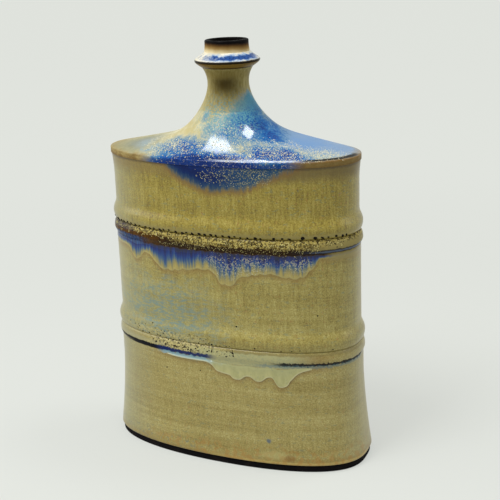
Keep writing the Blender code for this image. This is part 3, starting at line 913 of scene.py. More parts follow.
def spigot(seam, inner):
    """Bottom of an upper section: a skirt that drops into the rebate below it."""
    return [
        moved(inner, seam - LAP_HEIGHT),
        moved(inner, seam - LAP_HEIGHT, LAP_WIDTH),
        moved(inner, seam, LAP_WIDTH),
    ]


def bead(seam, direction, reach, wall_growth, bead_growth, groove):
    """Rings from the plain wall over a rolled bead into the groove at the seam."""
    crest = seam + direction * BEAD_DROP
    rings = []
    for share in [0.0] + steps(BEAD_STEP_ROWS):
        height = crest + direction * reach * (1.0 - share)
        growth = mix(wall_growth, bead_growth, ease(share))
        rings.append(body_ring(height, growth, 0.0, STEP_RELIEF))
    for along, down in crown(BEAD_ROWS):
        growth = bead_growth - groove * down
        rings.append(body_ring(mix(crest, seam, along), growth, 0.0, BEAD_RELIEF))
    return rings


def climb(low, high, form):
    """Even heights between two others, a row apart."""
    count = max(int((high - low) / form.row_height), 1)
    return [mix(low, high, share) for share in steps(count)][:-1]


def lower_wall_rings(form):
    """Lowest wall: flared to the foot, with a bead under the lower seam."""
    bottom = FOOT_HEIGHT + FOOT_GAP
    rings = []
    for inward, rise in [(1.0, 0.0)] + rounding(ROUND_ROWS):
        growth = LOWER_WALL_SWELL - EDGE_ROUND * inward
        height = bottom + EDGE_ROUND * rise
        rings.append(body_ring(height, growth, flare_share(height), 0.0))
    flank = LOWER_SEAM - BEAD_DROP - BEAD_STEP
    for height in climb(bottom + EDGE_ROUND, flank, form):
        relief = min(max((height - FOOT_HEIGHT) / RELIEF_FADE_HEIGHT - 0.5, 0.0), 1.0)
        rings.append(body_ring(height, LOWER_WALL_SWELL, flare_share(height), relief))
    rings += bead(
        LOWER_SEAM, -1.0, BEAD_STEP, LOWER_WALL_SWELL, LOWER_SEAM_BEAD, LOWER_SEAM_GROOVE
    )
    rings += rebate(LOWER_SEAM, body_ring(LOWER_SEAM, -WALL_THICKNESS))
    for share in (1.0, 0.8, 0.6, 0.4, 0.2, 0.1):
        height = FOOT_HEIGHT + FOOT_FLARE_HEIGHT * share
        inside = LOWER_WALL_SWELL - WALL_THICKNESS
        rings.append(body_ring(height, inside, flare_share(height), 0.0))
    inner = body_ring(FOOT_HEIGHT, LOWER_WALL_SWELL - WALL_THICKNESS, 1.0)
    floor = FOOT_HEIGHT + LAP_HEIGHT + JOINT_GAP
    rings += [
        moved(inner, floor),
        moved(inner, floor, LAP_WIDTH + JOINT_GAP),
        moved(inner, bottom, LAP_WIDTH + JOINT_GAP),
    ]
    return rings


def middle_wall_rings(form):
    """Middle wall between the two beaded seams."""
    inside = body_ring(LOWER_SEAM, -WALL_THICKNESS)
    rings = bead(LOWER_SEAM, 1.0, BEAD_FADE, 0.0, LOWER_SEAM_BEAD, LOWER_SEAM_GROOVE)[::-1]
    low, high = rings[-1].height, UPPER_SEAM - BEAD_DROP - BEAD_STEP
    rings += [body_ring(height, 0.0) for height in climb(low, high, form)]
    rings += bead(UPPER_SEAM, -1.0, BEAD_STEP, 0.0, UPPER_SEAM_BEAD, UPPER_SEAM_GROOVE)
    return rings + rebate(UPPER_SEAM, inside) + spigot(LOWER_SEAM, inside)


def upper_wall_rings(form):
    """Upper wall, drawn in a little above its bead and widening to the rim."""
    inside = body_ring(UPPER_SEAM, -WALL_THICKNESS)
    drawn_in = -UPPER_WALL_DRAW_IN
    rings = bead(UPPER_SEAM, 1.0, BEAD_FADE, drawn_in, UPPER_SEAM_BEAD, UPPER_SEAM_GROOVE)[::-1]
    waist = mix(UPPER_SEAM, RIM_SEAM, UPPER_WAIST_SHARE)
    edge = RIM_SEAM - EDGE_ROUND
    rings += [body_ring(height, drawn_in) for height in climb(rings[-1].height, waist, form)]
    for height in [waist] + climb(waist, edge, form) + [edge]:
        share = (height - waist) / (edge - waist)
        growth = mix(drawn_in, RIM_SWELL, RIM_SWELL_SHARE * share ** RIM_SWELL_CURVE)
        rings.append(body_ring(height, growth))
    for along, down in crown(ROUND_ROWS):
        growth = mix(drawn_in, RIM_SWELL, RIM_SWELL_SHARE) - RIM_GROOVE * down
        rings.append(body_ring(mix(edge, RIM_SEAM, along), growth, 0.0, RIM_RELIEF))
    return rings + rebate(RIM_SEAM, inside) + spigot(UPPER_SEAM, inside)


def dome_ring(rim, neck, share, thickness=0.0):
    """Ring of the shoulder: as it climbs, its length draws in early and its depth late."""
    rise = DOME_SLOPE_SHARE * share + (1.0 - DOME_SLOPE_SHARE) * share ** DOME_CURVE
    return Ring(
        mix(rim.half_length, neck.half_length, share),
        mix(rim.half_depth, neck.half_depth, rise ** DOME_DEPTH_CURVE),
        RIM_TOP + (NECK_SEAM - RIM_TOP) * rise - thickness,
        share,
        DOME_RELIEF * (1.0 - share),
    )


def shoulder_rings():
    """Domed shoulder with a banded rim, going from the oval body to the round neck."""
    rim = body_ring(RIM_TOP, RIM_SWELL - EDGE_ROUND)
    neck = round_ring(NECK_FOOT_RADIUS, NECK_SEAM)
    bore = round_ring(BORE_FOOT_RADIUS, NECK_SEAM)
    inside = body_ring(RIM_SEAM, -WALL_THICKNESS)
    rings = []
    for inward, rise in [(1.0, 0.0)] + rounding(ROUND_ROWS):
        growth = RIM_SWELL - RIM_GROOVE * inward
        rings.append(body_ring(RIM_SEAM + RIM_GROOVE * rise, growth, 0.0, RIM_RELIEF))
    low = rings[-1].height
    for share in steps(3):
        height = mix(low, RIM_TOP - EDGE_ROUND, share)
        rings.append(body_ring(height, RIM_SWELL, 0.0, RIM_RELIEF))
    for along, down in crown(ROUND_ROWS):
        height = mix(RIM_TOP - EDGE_ROUND, RIM_TOP, along)
        rings.append(body_ring(height, RIM_SWELL - EDGE_ROUND * down, 0.0, RIM_RELIEF))
    for share in steps(DOME_ROWS):
        rings.append(dome_ring(rim, neck, 1.0 - (1.0 - share) ** DOME_SPACING))
    rings += rebate(NECK_SEAM, bore)
    for share in (1.0, 0.94, 0.88, 0.8, 0.7, 0.55, 0.4, 0.2):
        rings.append(dome_ring(inside, bore, share, SHOULDER_THICKNESS)._replace(relief=0.0))
    return rings + spigot(RIM_SEAM, inside)


def rounded(profile, radius, turns=5):
    """A turned profile with its corners rounded."""
    smooth = []
    for index, corner in enumerate(profile):
        here = Vector(corner)
        legs = []
        for other in (profile[index - 1], profile[(index + 1) % len(profile)]):
            leg = Vector(other) - here
            legs.append(here + leg.normalized() * min(radius, leg.length * 0.46))
        for turn in range(turns + 1):
            share = turn / turns
            first, second = legs[0].lerp(here, share), here.lerp(legs[1], share)
            smooth.append(tuple(first.lerp(second, share)))
    return smooth


def neck_rings():
    """Turned neck: wide at the shoulder, narrow in the middle, coved out under the collar."""
    rings = []
    for share in [1.0 - s for s in [0.0] + steps(NECK_ROWS)]:
        radius = mix(NECK_RADIUS, NECK_FOOT_RADIUS, share ** NECK_FLARE_CURVE)
        rings.append(round_ring(radius, mix(NECK_WAIST, NECK_SEAM, share), NECK_RELIEF))
    for share in steps(COVE_ROWS):
        radius = mix(NECK_RADIUS, NECK_TOP_RADIUS, share ** NECK_COVE_CURVE)
        rings.append(round_ring(radius, mix(NECK_WAIST, COLLAR_SEAM, share), NECK_RELIEF))
    rings += rebate(COLLAR_SEAM, round_ring(BORE_RADIUS, COLLAR_SEAM))
    for share in (1.0, 0.8, 0.6, 0.4, 0.2):
        radius = mix(BORE_RADIUS, BORE_FOOT_RADIUS, (1.0 - share) ** BORE_FLARE_CURVE)
        rings.append(round_ring(radius, NECK_SEAM + BORE_FLARE_HEIGHT * share))
    return rings + spigot(NECK_SEAM, round_ring(BORE_FOOT_RADIUS, NECK_SEAM))


def collar_rings():
    """Turned collar: a sharp flange whose top slopes up to the lip."""
    outside = [
        (NECK_TOP_RADIUS, COLLAR_SEAM),
        (mix(COLLAR_RADIUS, NECK_TOP_RADIUS, 0.55), mix(COLLAR_EDGE_BOTTOM, COLLAR_SEAM, 0.55)),
        (COLLAR_RADIUS - EDGE_ROUND * 0.5, COLLAR_EDGE_BOTTOM),
        (COLLAR_RADIUS, mix(COLLAR_EDGE_TOP, COLLAR_EDGE_BOTTOM, 0.4)),
        (COLLAR_RADIUS - EDGE_ROUND, COLLAR_EDGE_TOP),
        (mix(COLLAR_RADIUS, LIP_FOOT_RADIUS, 0.55), mix(COLLAR_EDGE_TOP, LIP_SEAM, 0.42)),
        (LIP_FOOT_RADIUS, LIP_SEAM),
    ]
    curved = [outside[0]] + rounded(outside, COLLAR_ROUND)[6:-6] + [outside[-1]]
    rings = [round_ring(radius, height) for radius, height in curved]
    rings += rebate(LIP_SEAM, round_ring(BORE_RADIUS, LIP_SEAM))
    return rings + spigot(COLLAR_SEAM, round_ring(BORE_RADIUS, COLLAR_SEAM))


def lip_rings():
    """Turned lip: the short tube of the mouth."""
    outside = [
        (LIP_FOOT_RADIUS, LIP_SEAM),
        (LIP_RADIUS, mix(LIP_SEAM, MOUTH_TOP, 0.45)),
        (LIP_RADIUS, MOUTH_TOP),
        (LIP_BORE_RADIUS, MOUTH_TOP),
        (BORE_RADIUS, LIP_SEAM),
    ]
    curved = [outside[0]] + rounded(outside, LIP_ROUND, 7)[8:-8] + [outside[-1]]
    rings = [round_ring(radius, height) for radius, height in curved]
    return rings + spigot(LIP_SEAM, round_ring(BORE_RADIUS, LIP_SEAM))


def foot_rings():
    """Unglazed base slab, with a raised floor that locates the lower wall."""
    outside = body_ring(0.0, LOWER_WALL_SWELL - FOOT_INSET, 1.0, 0.0)
    inner = body_ring(FOOT_HEIGHT, LOWER_WALL_SWELL - WALL_THICKNESS, 1.0, 0.0)
    rings = [Ring(0.0, 0.0, 0.0, 0.0, 0.0), moved(outside, 0.0, -SOLE_RING_INSET)]
    rings.append(moved(outside, 0.0, -FOOT_CHAMFER))
    for inward, rise in rounding(CHAMFER_ROWS):
        rings.append(moved(outside, FOOT_CHAMFER * rise, -FOOT_CHAMFER * inward))
    rings += [moved(outside, mix(FOOT_CHAMFER, FOOT_HEIGHT, share)) for share in steps(FOOT_ROWS)]
    rings.append(moved(inner, FOOT_HEIGHT, LAP_WIDTH))
    top = FOOT_HEIGHT + LAP_HEIGHT
    return rings + [moved(inner, top, LAP_WIDTH), Ring(0.0, 0.0, top, 0.0, 0.0)]


def surface_tree(name, **inputs):
    """The wiring and inputs of a shader group, which all take the point on the surface."""
    return new_tree("ShaderNodeTree", name, Point=(0.0, 0.0, 0.0), **inputs)


def khaki_group(name):
    """Body glaze: fine vertical streaks, throwing lines, mottling and small flecks."""
    wiring, start = surface_tree(
        name, Tan=(0.3, 0.25, 0.1, 1.0), Dark=(0.2, 0.15, 0.05, 1.0), Light=(0.4, 0.35, 0.2, 1.0),
        Fleck=(0.1, 0.2, 0.2, 1.0), Rust=(0.3, 0.1, 0.05, 1.0), Streaks=0.5, Lines=0.5,
        Flecks=0.5,
    )
    streak = wiring.noise(0.0014, (1.0, 1.0, 0.10), 2.0, 1.0, 0.6)
    line = wiring.noise(0.0042, (0.04, 0.04, 1.0), 3.0, 2.0, 0.6)
    mottle = wiring.noise(0.016, (1.0, 1.0, 0.8), 5.0, 3.0, 0.65)
    grain = wiring.noise(0.0008, None, 1.0, 4.0)
    share = 0.5
    for value, amount in (
        (streak, start["Streaks"]), (line, start["Lines"]), (mottle, 0.4), (grain, 1.4),
    ):
        share = share + (value - 0.5) * amount
    colour = wiring.paint(wiring.between(share, 0.5, 0.0, False), start["Tan"], start["Dark"])
    colour = wiring.paint(wiring.between(share, 0.5, 1.0, False), colour, start["Light"])
    for seed, tint, stretch, low in (
        (5.0, start["Fleck"], (0.6, 0.6, 1.6), 0.58), (6.0, start["Rust"], (1.0, 1.0, 0.8), 0.60),
    ):
        spot = wiring.noise(0.0019, stretch, 2.0, seed, 0.6)
        spot = wiring.between(spot, low, low + 0.1) * start["Flecks"]
        colour = wiring.paint(spot, colour, tint)
    rough = wiring.mix(wiring.between(share, 0.2, 0.8), 0.36, 0.5)
    height = streak * 0.4 + (line * 0.6 + grain * 0.4)
    return wiring.output(Color=colour, Roughness=rough, Height=height)


def patch_group(name):
    """A soft or ragged patch round a centre."""
    wiring, start = surface_tree(
        name, Centre=(0.0, 0.0, 0.0), Reach=(0.01, 0.01, 0.01), Softness=0.5, Ragged=0.5,
        Grain=0.003,
    )
    away = wiring.vector("SUBTRACT", wiring.point, start["Centre"])
    away = wiring.vector("LENGTH", wiring.vector("DIVIDE", away, start["Reach"]))
    stray = (wiring.noise(start["Grain"], detail=4.0, roughness=0.65) - 0.5) * start["Ragged"]
    away = stray * 4.0 + away
    soft = start["Softness"]
    return wiring.output(Mask=wiring.between(away, 1.0 + soft, 1.0 - soft))


def band_group(name):
    """A band between two heights, over a stretch of the length, with ragged edges."""
    wiring, start = surface_tree(
        name, Low=0.0, High=0.01, Left=-1.0, Right=1.0, Softness=0.0005, End_Softness=0.005,
        Ragged=0.0005, Grain=0.002,
    )
    x, _, z = wiring.parts(wiring.point)
    z = (wiring.noise(start["Grain"]) - 0.5) * (start["Ragged"] * 4.0) + z
    mask = 1.0
    for value, low, high, soft in (
        (z, start["Low"], start["High"], start["Softness"]),
        (x, start["Left"], start["Right"], start["End Softness"]),
    ):
        for limit, side in ((low, 1.0), (high, -1.0)):
            mask = mask * wiring.between(value, soft * -side + limit, soft * side + limit)
    return wiring.output(Mask=mask)


def run_edge_group(name, marks, top, half_length, scallop):
    """How far a point is down a glaze run, as a share, and how far above the run's edge."""
    wiring, start = surface_tree(name, Run_Length=0.02)
    x, y, z = wiring.parts(wiring.point)
    fall = wiring.run_curve(x * (0.5 / half_length) + 0.5, marks, scallop)
    front = wiring.between(y, 0.002, -0.002)
    fall = wiring.mix(front, 0.10, fall)
    drop = wiring.most(fall * start["Run Length"], 0.0001)
    fallen = top - z
    return wiring.output(Share=fallen / drop, Above_Edge=drop - fallen, Front=front)


def crystal_group(name):
    """Speckle of fine crystals that covers more or less of the glaze."""
    wiring, start = surface_tree(name, Cover=0.5, Grain=0.001)
    grain = wiring.noise(start["Grain"], detail=1.5, roughness=0.6)
    limit = start["Cover"] * -0.5 + 0.75
    mask = wiring.between(grain, limit, limit + 0.07) * start["Cover"]
    return wiring.output(Mask=wiring.math("MULTIPLY", mask, 1.6, clamp=True))


def run_streak(wiring):
    """Fine vertical streaks of the cobalt run."""
    return wiring.noise(0.0017, (1.0, 1.0, 0.07), 3.0, 11.0, 0.65)


def cobalt_run_group(name):
    """Colours down the cobalt run: navy, cobalt, grey-blue and cream, in vertical streaks."""
    wiring, start = surface_tree(name, Share=0.0)
    broad = wiring.noise(0.007, (1.0, 1.0, 0.1), 2.0, 12.0)
    stray = (broad - 0.5) * 0.5 + (run_streak(wiring) - 0.5) * 1.3
    share = start["Share"] + stray
    colour = wiring.ramp(
        share, (0.0, (2, 14, 52)), (0.20, (2, 26, 92)), (0.38, (10, 54, 116)),
        (0.54, (60, 88, 112)), (0.68, (112, 116, 96)), (0.84, (142, 131, 78)),
        (1.0, (162, 147, 80)),
    )
    return wiring.output(Color=colour, Thick=wiring.between(share, 0.9, 0.4))


def shoulder_group(name):
    """Glaze of the shoulder: cream breaking into speckled blue, cobalt and periwinkle."""
    wiring, _ = surface_tree(name)
    between, noise, paint = wiring.between, wiring.noise, wiring.paint
    x, _, height = wiring.parts(wiring.point)

    def masked(*patches):
        """Strongest of some patches at the point."""
        return wiring.most(0.0, *(
            wiring.patch(centre, reach, softness, ragged, 0.005) * amount
            for centre, reach, softness, ragged, amount in patches
        ))

    blueness = masked(
        ((2, -39, 205), (46, 16, 11), 0.50, 0.16, 1.0),
        ((-17, -33, 215), (26, 11, 8), 0.75, 0.30, 0.72),
        ((12, -27, 224), (18, 14, 12), 0.90, 0.30, 0.52),
        ((20, -17, 228), (14, 14, 12), 0.80, 0.18, 0.78),
        ((33, -10, 222), (12, 15, 8), 0.90, 0.20, 0.78),
        ((25, -8, 229), (10, 14, 10), 0.80, 0.18, 0.82),
        ((31, 4, 226), (16, 14, 11), 0.80, 0.10, 0.60),
        ((18, -6, 237), (8, 14, 11), 0.75, 0.22, 0.80),
        ((42, -29, 212), (28, 11, 8), 0.80, 0.25, 0.80),
        ((-52, -19, 215), (9, 8, 3), 0.90, 0.12, 0.24),
        ((-7, -20, 233), (3, 4, 6), 0.90, 0.10, 0.42),
        ((-12, 30, 216), (40, 15, 11), 0.90, 0.25, 0.60),
    )
    fine = noise(0.0011, None, 2.0, 41.0, 0.7)
    coarse = noise(0.009, None, 4.0, 42.0, 0.6)
    stray = (coarse - 0.5) * 0.7 + (fine - 0.5) * 0.9
    blueness = blueness + stray * between(blueness, 0.0, 0.5)
    streak = noise(0.0012, (1.0, 1.0, 0.12), 3.0, 43.0, 0.7)
    tan = paint(between(streak, 0.3, 0.7), (128, 114, 62), (174, 162, 108))
    cream = paint(between(coarse, 0.35, 0.65), (184, 172, 122), "cream")
    for area, colour in (
        (((-84, -4, 210), (18, 26, 4), 0.8, 0.2, 1.0), (160, 142, 92)),
        # Painted shade: a dark khaki patch on the cream of the dome's left flank.
        (((-56, -14, 213), (28, 24, 7), 0.8, 0.25, 0.85), (112, 114, 86)),
        (((60, -17, 212), (26, 15, 8), 0.7, 0.2, 0.95), (118, 144, 156)),
    ):
        cream = paint(masked(area), cream, colour)
    ground = paint(between(height, 0.226, 0.246), cream, tan)
    blue = wiring.ramp(
        blueness, (0.0, (168, 168, 140)), (0.30, (136, 152, 152)), (0.48, (88, 124, 150)),
        (0.66, "blue"), (0.84, "cobalt"), (1.0, "navy"),
    )
    pale = masked(
        ((46, 5, 219), (34, 28, 11), 0.55, 0.08, 1.0), ((72, 6, 213), (16, 18, 5), 0.70, 0.10, 0.8),
        ((-52, -16, 215), (12, 10, 3), 0.90, 0.10, 0.18),
    )
    pale = pale * wiring.mix(between(coarse, 0.35, 0.65), 0.78, 0.96)
    ground = paint(pale, ground, "pale_blue")
    colour = paint(between(blueness, 0.05, 0.36), ground, blue)
    colour = paint(pale * between(blueness, 0.62, 0.32), colour, "pale_blue")
    teal = between(height, 0.230, 0.242) * 0.6 * between(blueness, 0.2, 0.5)
    colour = paint(teal, colour, "teal")
    foot_of_neck = masked(((8, -19, 234), (20, 16, 14), 0.6, 0.20, 1.0))
    colour = paint(wiring.crystals(0.55, 0.0011) * (foot_of_neck * 0.9), colour, "teal")
    cover = masked(
        ((-24, -30, 218), (28, 8, 4), 0.9, 0.40, 0.48),
        ((38, -28, 215), (32, 9, 6), 0.8, 0.45, 0.34),
        ((8, -24, 226), (20, 12, 9), 0.8, 0.30, 0.42),
        ((24, -38, 209), (30, 10, 8), 0.8, 0.40, 0.30),
        ((70, -14, 212), (22, 16, 5), 0.8, 0.30, 0.50),
    )
    crystals = wiring.crystals(cover, 0.0009)
    colour = paint(crystals, colour, "crystal")
    glassy = masked(
        ((4.0, -33.5, 219.5), (17, 6, 5), 0.45, 0.35, 1.0),
        ((20.5, -21, 225.5), (7, 7, 6), 0.35, 0.16, 1.0),
        ((60, -4, 216), (34, 20, 7), 0.6, 0.05, 0.16),
        ((0, -39, 208), (52, 14, 9), 0.5, 0.05, 0.12),
    )
    rim = between(height, 0.2122, 0.2115) * between(height, 0.2094, 0.2099)
    rim = rim * between(blueness, 0.1, 0.4) * between(x, 0.074, 0.060)
    rim = rim * between(x, -0.012, 0.014)
    glassy = wiring.most(glassy, rim) * (1.0 - crystals * 0.7)
    return wiring.output(Color=colour, Glassy=glassy, Height=fine * 0.4 + crystals)


def new_material(name):
    """A material with an empty node tree."""
    material = bpy.data.materials.new(name)
    material.use_nodes = True
    material.node_tree.nodes.clear()
    return material


def run_sizes():
    """Marks, top, longest drip, growth of the wall and scallops of each run and the pool."""
    runs = bpy.context.scene.vase_runs
    return {
        "Cobalt run edge": (UPPER_RUN_MARKS, UPPER_RUN_TOP, runs.upper_length, 0.0, runs.scallop),
        "Pale run edge": (
            LOWER_RUN_MARKS, LOWER_RUN_TOP, runs.lower_length, LOWER_WALL_SWELL, 0.0
        ),
        "Pool edge": (POOL_MARKS, RIM_TOP, runs.pool_depth, 0.0, 0.0),
    }


class Glaze(Wiring):
    """A glazed material while it is being painted: its colour, roughness and relief."""

    def __init__(self, name):
        self.material = new_material(name)
        super().__init__(self.material.node_tree)
        self.point = self.get("ShaderNodeTexCoord", key="Object")
        self.colour, self.roughness, self.height = (0.5, 0.5, 0.5, 1.0), 0.35, 0.0

    def shoulder(self):
        """Lays the glaze of the shoulder, and gives its glassy mask."""
        self.colour, glassy, self.height = self.group(
            "Shoulder glaze", shoulder_group, Point=self.point
        )
        return glassy

    def body(self, tan, dark, light, streaks, lines, flecks):
        """Khaki glaze as the ground of the piece, with a painted paler, greyer sheen at the two
        ends.
        """
        self.colour, self.roughness, self.height = self.group(
            "Khaki glaze", khaki_group, Point=self.point, Tan=linear(tan), Dark=linear(dark),
            Light=linear(light), Fleck=linear("fleck"), Rust=linear("rust"), Streaks=streaks,
            Lines=lines, Flecks=flecks,
        )
        x = self.parts(self.point)[0]
        # Painted sheen: both ends of the oval are laid paler and greyer, standing in for the
        # reflection of the bright surroundings at the grazing ends.
        self.lay(self.between(x, -0.040, -0.086), (146, 148, 122), 0.46)
        self.lay(self.between(x, 0.078, 0.092), (160, 158, 124), 0.30)

    def edges(self, label):
        """Share down a run, height above its edge and front mask."""
        marks, top, length, growth, scallop = run_sizes()[label]
        half_length = BODY_HALF_LENGTH + growth
        return self.group(
            label, lambda name: run_edge_group(name, marks, top, half_length, scallop),
            Point=self.point, Run_Length=length,
        )

    def cobalt(self, share):
        """Colour and thickness of the cobalt run, by the share down it."""
        return self.group("Cobalt run colours", cobalt_run_group, Point=self.point, Share=share)

    def front(self):
        """Mask of the glazed front."""
        return self.between(self.parts(self.point)[1], 0.004, -0.004)

    def lay(self, mask, colour, strength=1.0):
        """Lays a colour over what is there."""
        if strength != 1.0:
            mask = mask * strength
        self.colour = self.paint(mask, self.colour, colour)

    def fire(self, coat, bump, specular=0.25, coat_roughness=None):
        """Finishes the material with a glassy coat, and returns it."""
        if coat_roughness is None:
            coat_roughness = bpy.context.scene.vase_colours.coat_roughness
        shader = self.get("ShaderNodeBsdfPrincipled", {
            "Base Color": self.colour, "Roughness": self.roughness,
            "Specular IOR Level": specular, "Coat Weight": coat, "Coat Roughness": coat_roughness,
            "Normal": self.get("ShaderNodeBump", {"Height": self.height, "Distance": bump}),
        })
        self.put("ShaderNodeOutputMaterial", {"Surface": shader})
        return self.material


def started(name):
    """A new glazed material, and the means of laying colours on it."""
    glaze = Glaze(name)
    return glaze, glaze.band, glaze.patch, glaze.crystals, glaze.lay


def bare_clay():
    """Dark iron clay, matt, with a fine sandy grain."""
    glaze = Glaze("bare_dark_clay")
    grain = glaze.noise(0.0009, None, 4.0, 1.0, 0.7)
    cloud = glaze.noise(0.012, None, 3.0, 2.0)
    dark, light = (
        (*Vector(bpy.context.scene.vase_colours.clay) * shade, 1.0) for shade in (0.6, 1.5)
    )
    glaze.colour = glaze.paint(glaze.between(grain, 0.3, 0.7), dark, light)
    glaze.lay(glaze.between(cloud, 0.5, 0.7), (34, 27, 24), 0.5)
    glaze.roughness = glaze.mix(grain, 0.7, 0.95)
    glaze.height = grain
    return glaze.fire(0.0, 0.0003, 0.08)


def lower_glaze():
    """Body glaze of the lower wall, with the pale run's line under the bead."""
    glaze, band, patch, crystals, lay = started("lower_wall_glaze")
    glaze.body((150, 136, 72), (118, 101, 38), (181, 169, 108), 0.5, 1.1, 0.28)
    _, above, front = glaze.edges("Pale run edge")
    halo = glaze.between(above, -0.0045, 0.0) * front * band(40, 84, -45, 75, end_soft=8)
    lay(halo, "halo", 0.45)
    crumbs = band(79.5, 90, -48, 4, 0.8, 8, 0.4) * front
    lay(crumbs, (128, 114, 62), 0.8)
    lay(crumbs * crystals(0.75, 0.0012), (184, 172, 112), 0.9)
    lay(crumbs * crystals(0.5, 0.0015), "burnt", 0.9)
    pale = band(74.0, 84.2, -16, 60, 0.9, 12, 0.7) * front
    lay(pale, (166, 164, 116), 0.85)
    lay(pale * crystals(0.5, 0.0013), (128, 136, 104), 0.5)
    lay(pale * crystals(0.12, 0.0021), (64, 62, 48), 0.6)
    # Painted shade: a darker band in the groove under the lower seam, over the right of the front.
    lay(band(83.3, 85.0, 2, 95, 0.5, 8, 0.7) * front, (112, 98, 46), 0.6)
    lay(band(79.4, 82.8, -80, -36, 0.8, 6, 0.3) * front, (146, 142, 108), 0.5)
    left_line = glaze.most(
        band(76.3, 79.9, -76, -34, 0.35, 12, 0.25, 0.004) * front,
        band(77.4, 79.7, -110, -60, 0.3, 5) * front,
    )
    lay(left_line, (4, 6, 14))
    blue_end = band(76.4, 79.8, -44, -2, 0.5, 5, 1.0, 0.0022) * front
    lay(blue_end, (2, 34, 96), 0.92)
    lay(band(74.6, 76.8, -42, -4, 0.4, 5, 1.0, 0.0028) * front, (124, 164, 178), 0.8)
    right_line = band(76.2, 78.6, 42, 100, 0.35, 6, 0.9, 0.0018) * front
    lay(right_line, (3, 10, 32), 0.92)
    lay(band(74.8, 76.8, 30, 100, 0.5, 6, 0.9, 0.0022) * front, (84, 112, 118), 0.55)
    lay(band(76.6, 78.6, soft=0.4, ragged=0.35) * (1.0 - front), (40, 40, 54), 0.7)
    lay(band(3, 9.0, soft=2.0, ragged=1.0, grain=0.01), (136, 112, 50), 0.5)
    lay(band(2, 7.4, 0, 110, 0.5, 20, 0.3) * front, (190, 164, 92), 0.55)
    speckled = band(6, 15, -100, -8, 2.0, 20, 1.5, 0.008) * front
    lay(speckled * crystals(0.36, 0.0018), (84, 104, 104), 0.7)
    warm = band(4, 16, -50, 100, 4.0, 20, 2.0, 0.012) * front
    lay(warm * crystals(0.5, 0.0034), (160, 114, 40), 0.6)
    lay(patch((41, -42, 12), (9, 10, 3), 0.5, 0.5), (176, 168, 108), 0.45)
    lay(patch((51, -42, 10), (3.5, 10, 2.4), 0.5, 0.4), (126, 88, 24), 0.7)
    lay(patch((37, -42, 22), (1.6, 10, 1.5), 0.5, 0.3), (64, 84, 104), 0.8)
    glaze.roughness = glaze.mix(pale, glaze.roughness, 0.3)
    glaze.height = crumbs * 0.6 + glaze.height
    dark_line = glaze.most(left_line, blue_end, right_line)
    return glaze.fire(glaze.mix(dark_line, 0.95, 0.0), 0.00014, 0.05, 0.32)


def middle_glaze():
    """Body glaze of the middle wall, from the crystal crust at its top to the lower bead."""
    glaze, band, patch, crystals, lay = started("middle_wall_glaze")
    glaze.body((151, 138, 68), (113, 96, 34), (180, 169, 104), 0.85, 0.9, 0.34)
    haze = patch((-36, -38, 104), (34, 40, 21), 0.7, 0.6, 0.008)
    lay(haze, (134, 138, 100), 0.4)
    dashes = glaze.noise(0.0014, (0.3, 0.3, 1.0), 3.0, 21.0, 0.7)
    lay(haze * glaze.between(dashes, 0.44, 0.60), (104, 130, 128), 0.85)
    share, above, front = glaze.edges("Cobalt run edge")
    lay(glaze.between(above, -0.0055, 0.0), "halo", 0.5)
    in_run = glaze.between(above, -0.0004, 0.0004)
    lay(in_run, glaze.cobalt(share)[0])
    flank = band(151.0, 159.4, soft=0.6, ragged=0.7, grain=0.003)
    lay(flank, "amber")
    streak = glaze.between(run_streak(glaze), 0.38, 0.66)
    left_blue = band(148, 155.0, -110, -52, 0.7, 8, 0.8) * front
    lay(left_blue, glaze.paint(streak, (2, 26, 78), (34, 82, 134)), 0.95)
    lay(flank * band(140, 170, -38, 74, end_soft=10) * front, (40, 27, 12), 0.85)
    lay(flank * crystals(0.5, 0.0015), "burnt", 0.7)
    crust = band(158.8, 162.0, soft=1.2, ragged=0.9, grain=0.0022)
    lay(crust, (116, 96, 40), 0.9)
    lay(crust * crystals(0.75, 0.0013), (180, 164, 92), 0.9)
    lay(flank * band(153.8, 170, 66, 120, 0.6, 9, 0.5), (152, 140, 86), 0.85)
    centre = band(156.1, 160.5, -22, 70, 1.3, 12, 1.8) * front
    lay(centre, (118, 96, 38), 0.8)
    lay(centre * crystals(0.7, 0.0012), (176, 160, 90), 0.9)
    lay(glaze.most(crust, centre) * crystals(0.55, 0.0015), "burnt", 0.9)
    lay(band(157.5, 162, -100, -62, 0.8, 10) * front, (70, 68, 80), 0.7)
    lay(band(147, 152.0, 75, 110, 0.4, 4, 0.3), (142, 129, 74), 0.85)
    lay(band(151.9, 154.6, 56, 110, 0.3, 6, 0.4), (34, 31, 40), 0.85)
    lay(band(152.4, 153.6, 66, 110, 0.3, 6, 0.35), (88, 100, 118), 0.8)
    crumbs = band(80, 91.5, -64, -8, 1.2, 8, 1.0) * front
    lay(crumbs * crystals(0.6, 0.0013), (180, 168, 108), 0.8)
    lay(crumbs * crystals(0.32, 0.0018), "burnt", 0.8)
    # Painted shade: a darker band in the groove at the lower seam, over the right of the front.
    lay(band(84.5, 86.4, 2, 95, 0.5, 8, 0.8) * front, (108, 94, 42), 0.5)
    glaze.roughness = glaze.mix(in_run, glaze.roughness, 0.2)
    glaze.height = crust * 0.5 + glaze.height
    rough = glaze.most(flank, band(155.0, 164.0, soft=1.0))
    return glaze.fire(glaze.mix(rough, 0.93, 0.05), 0.00014, 0.05, 0.32)


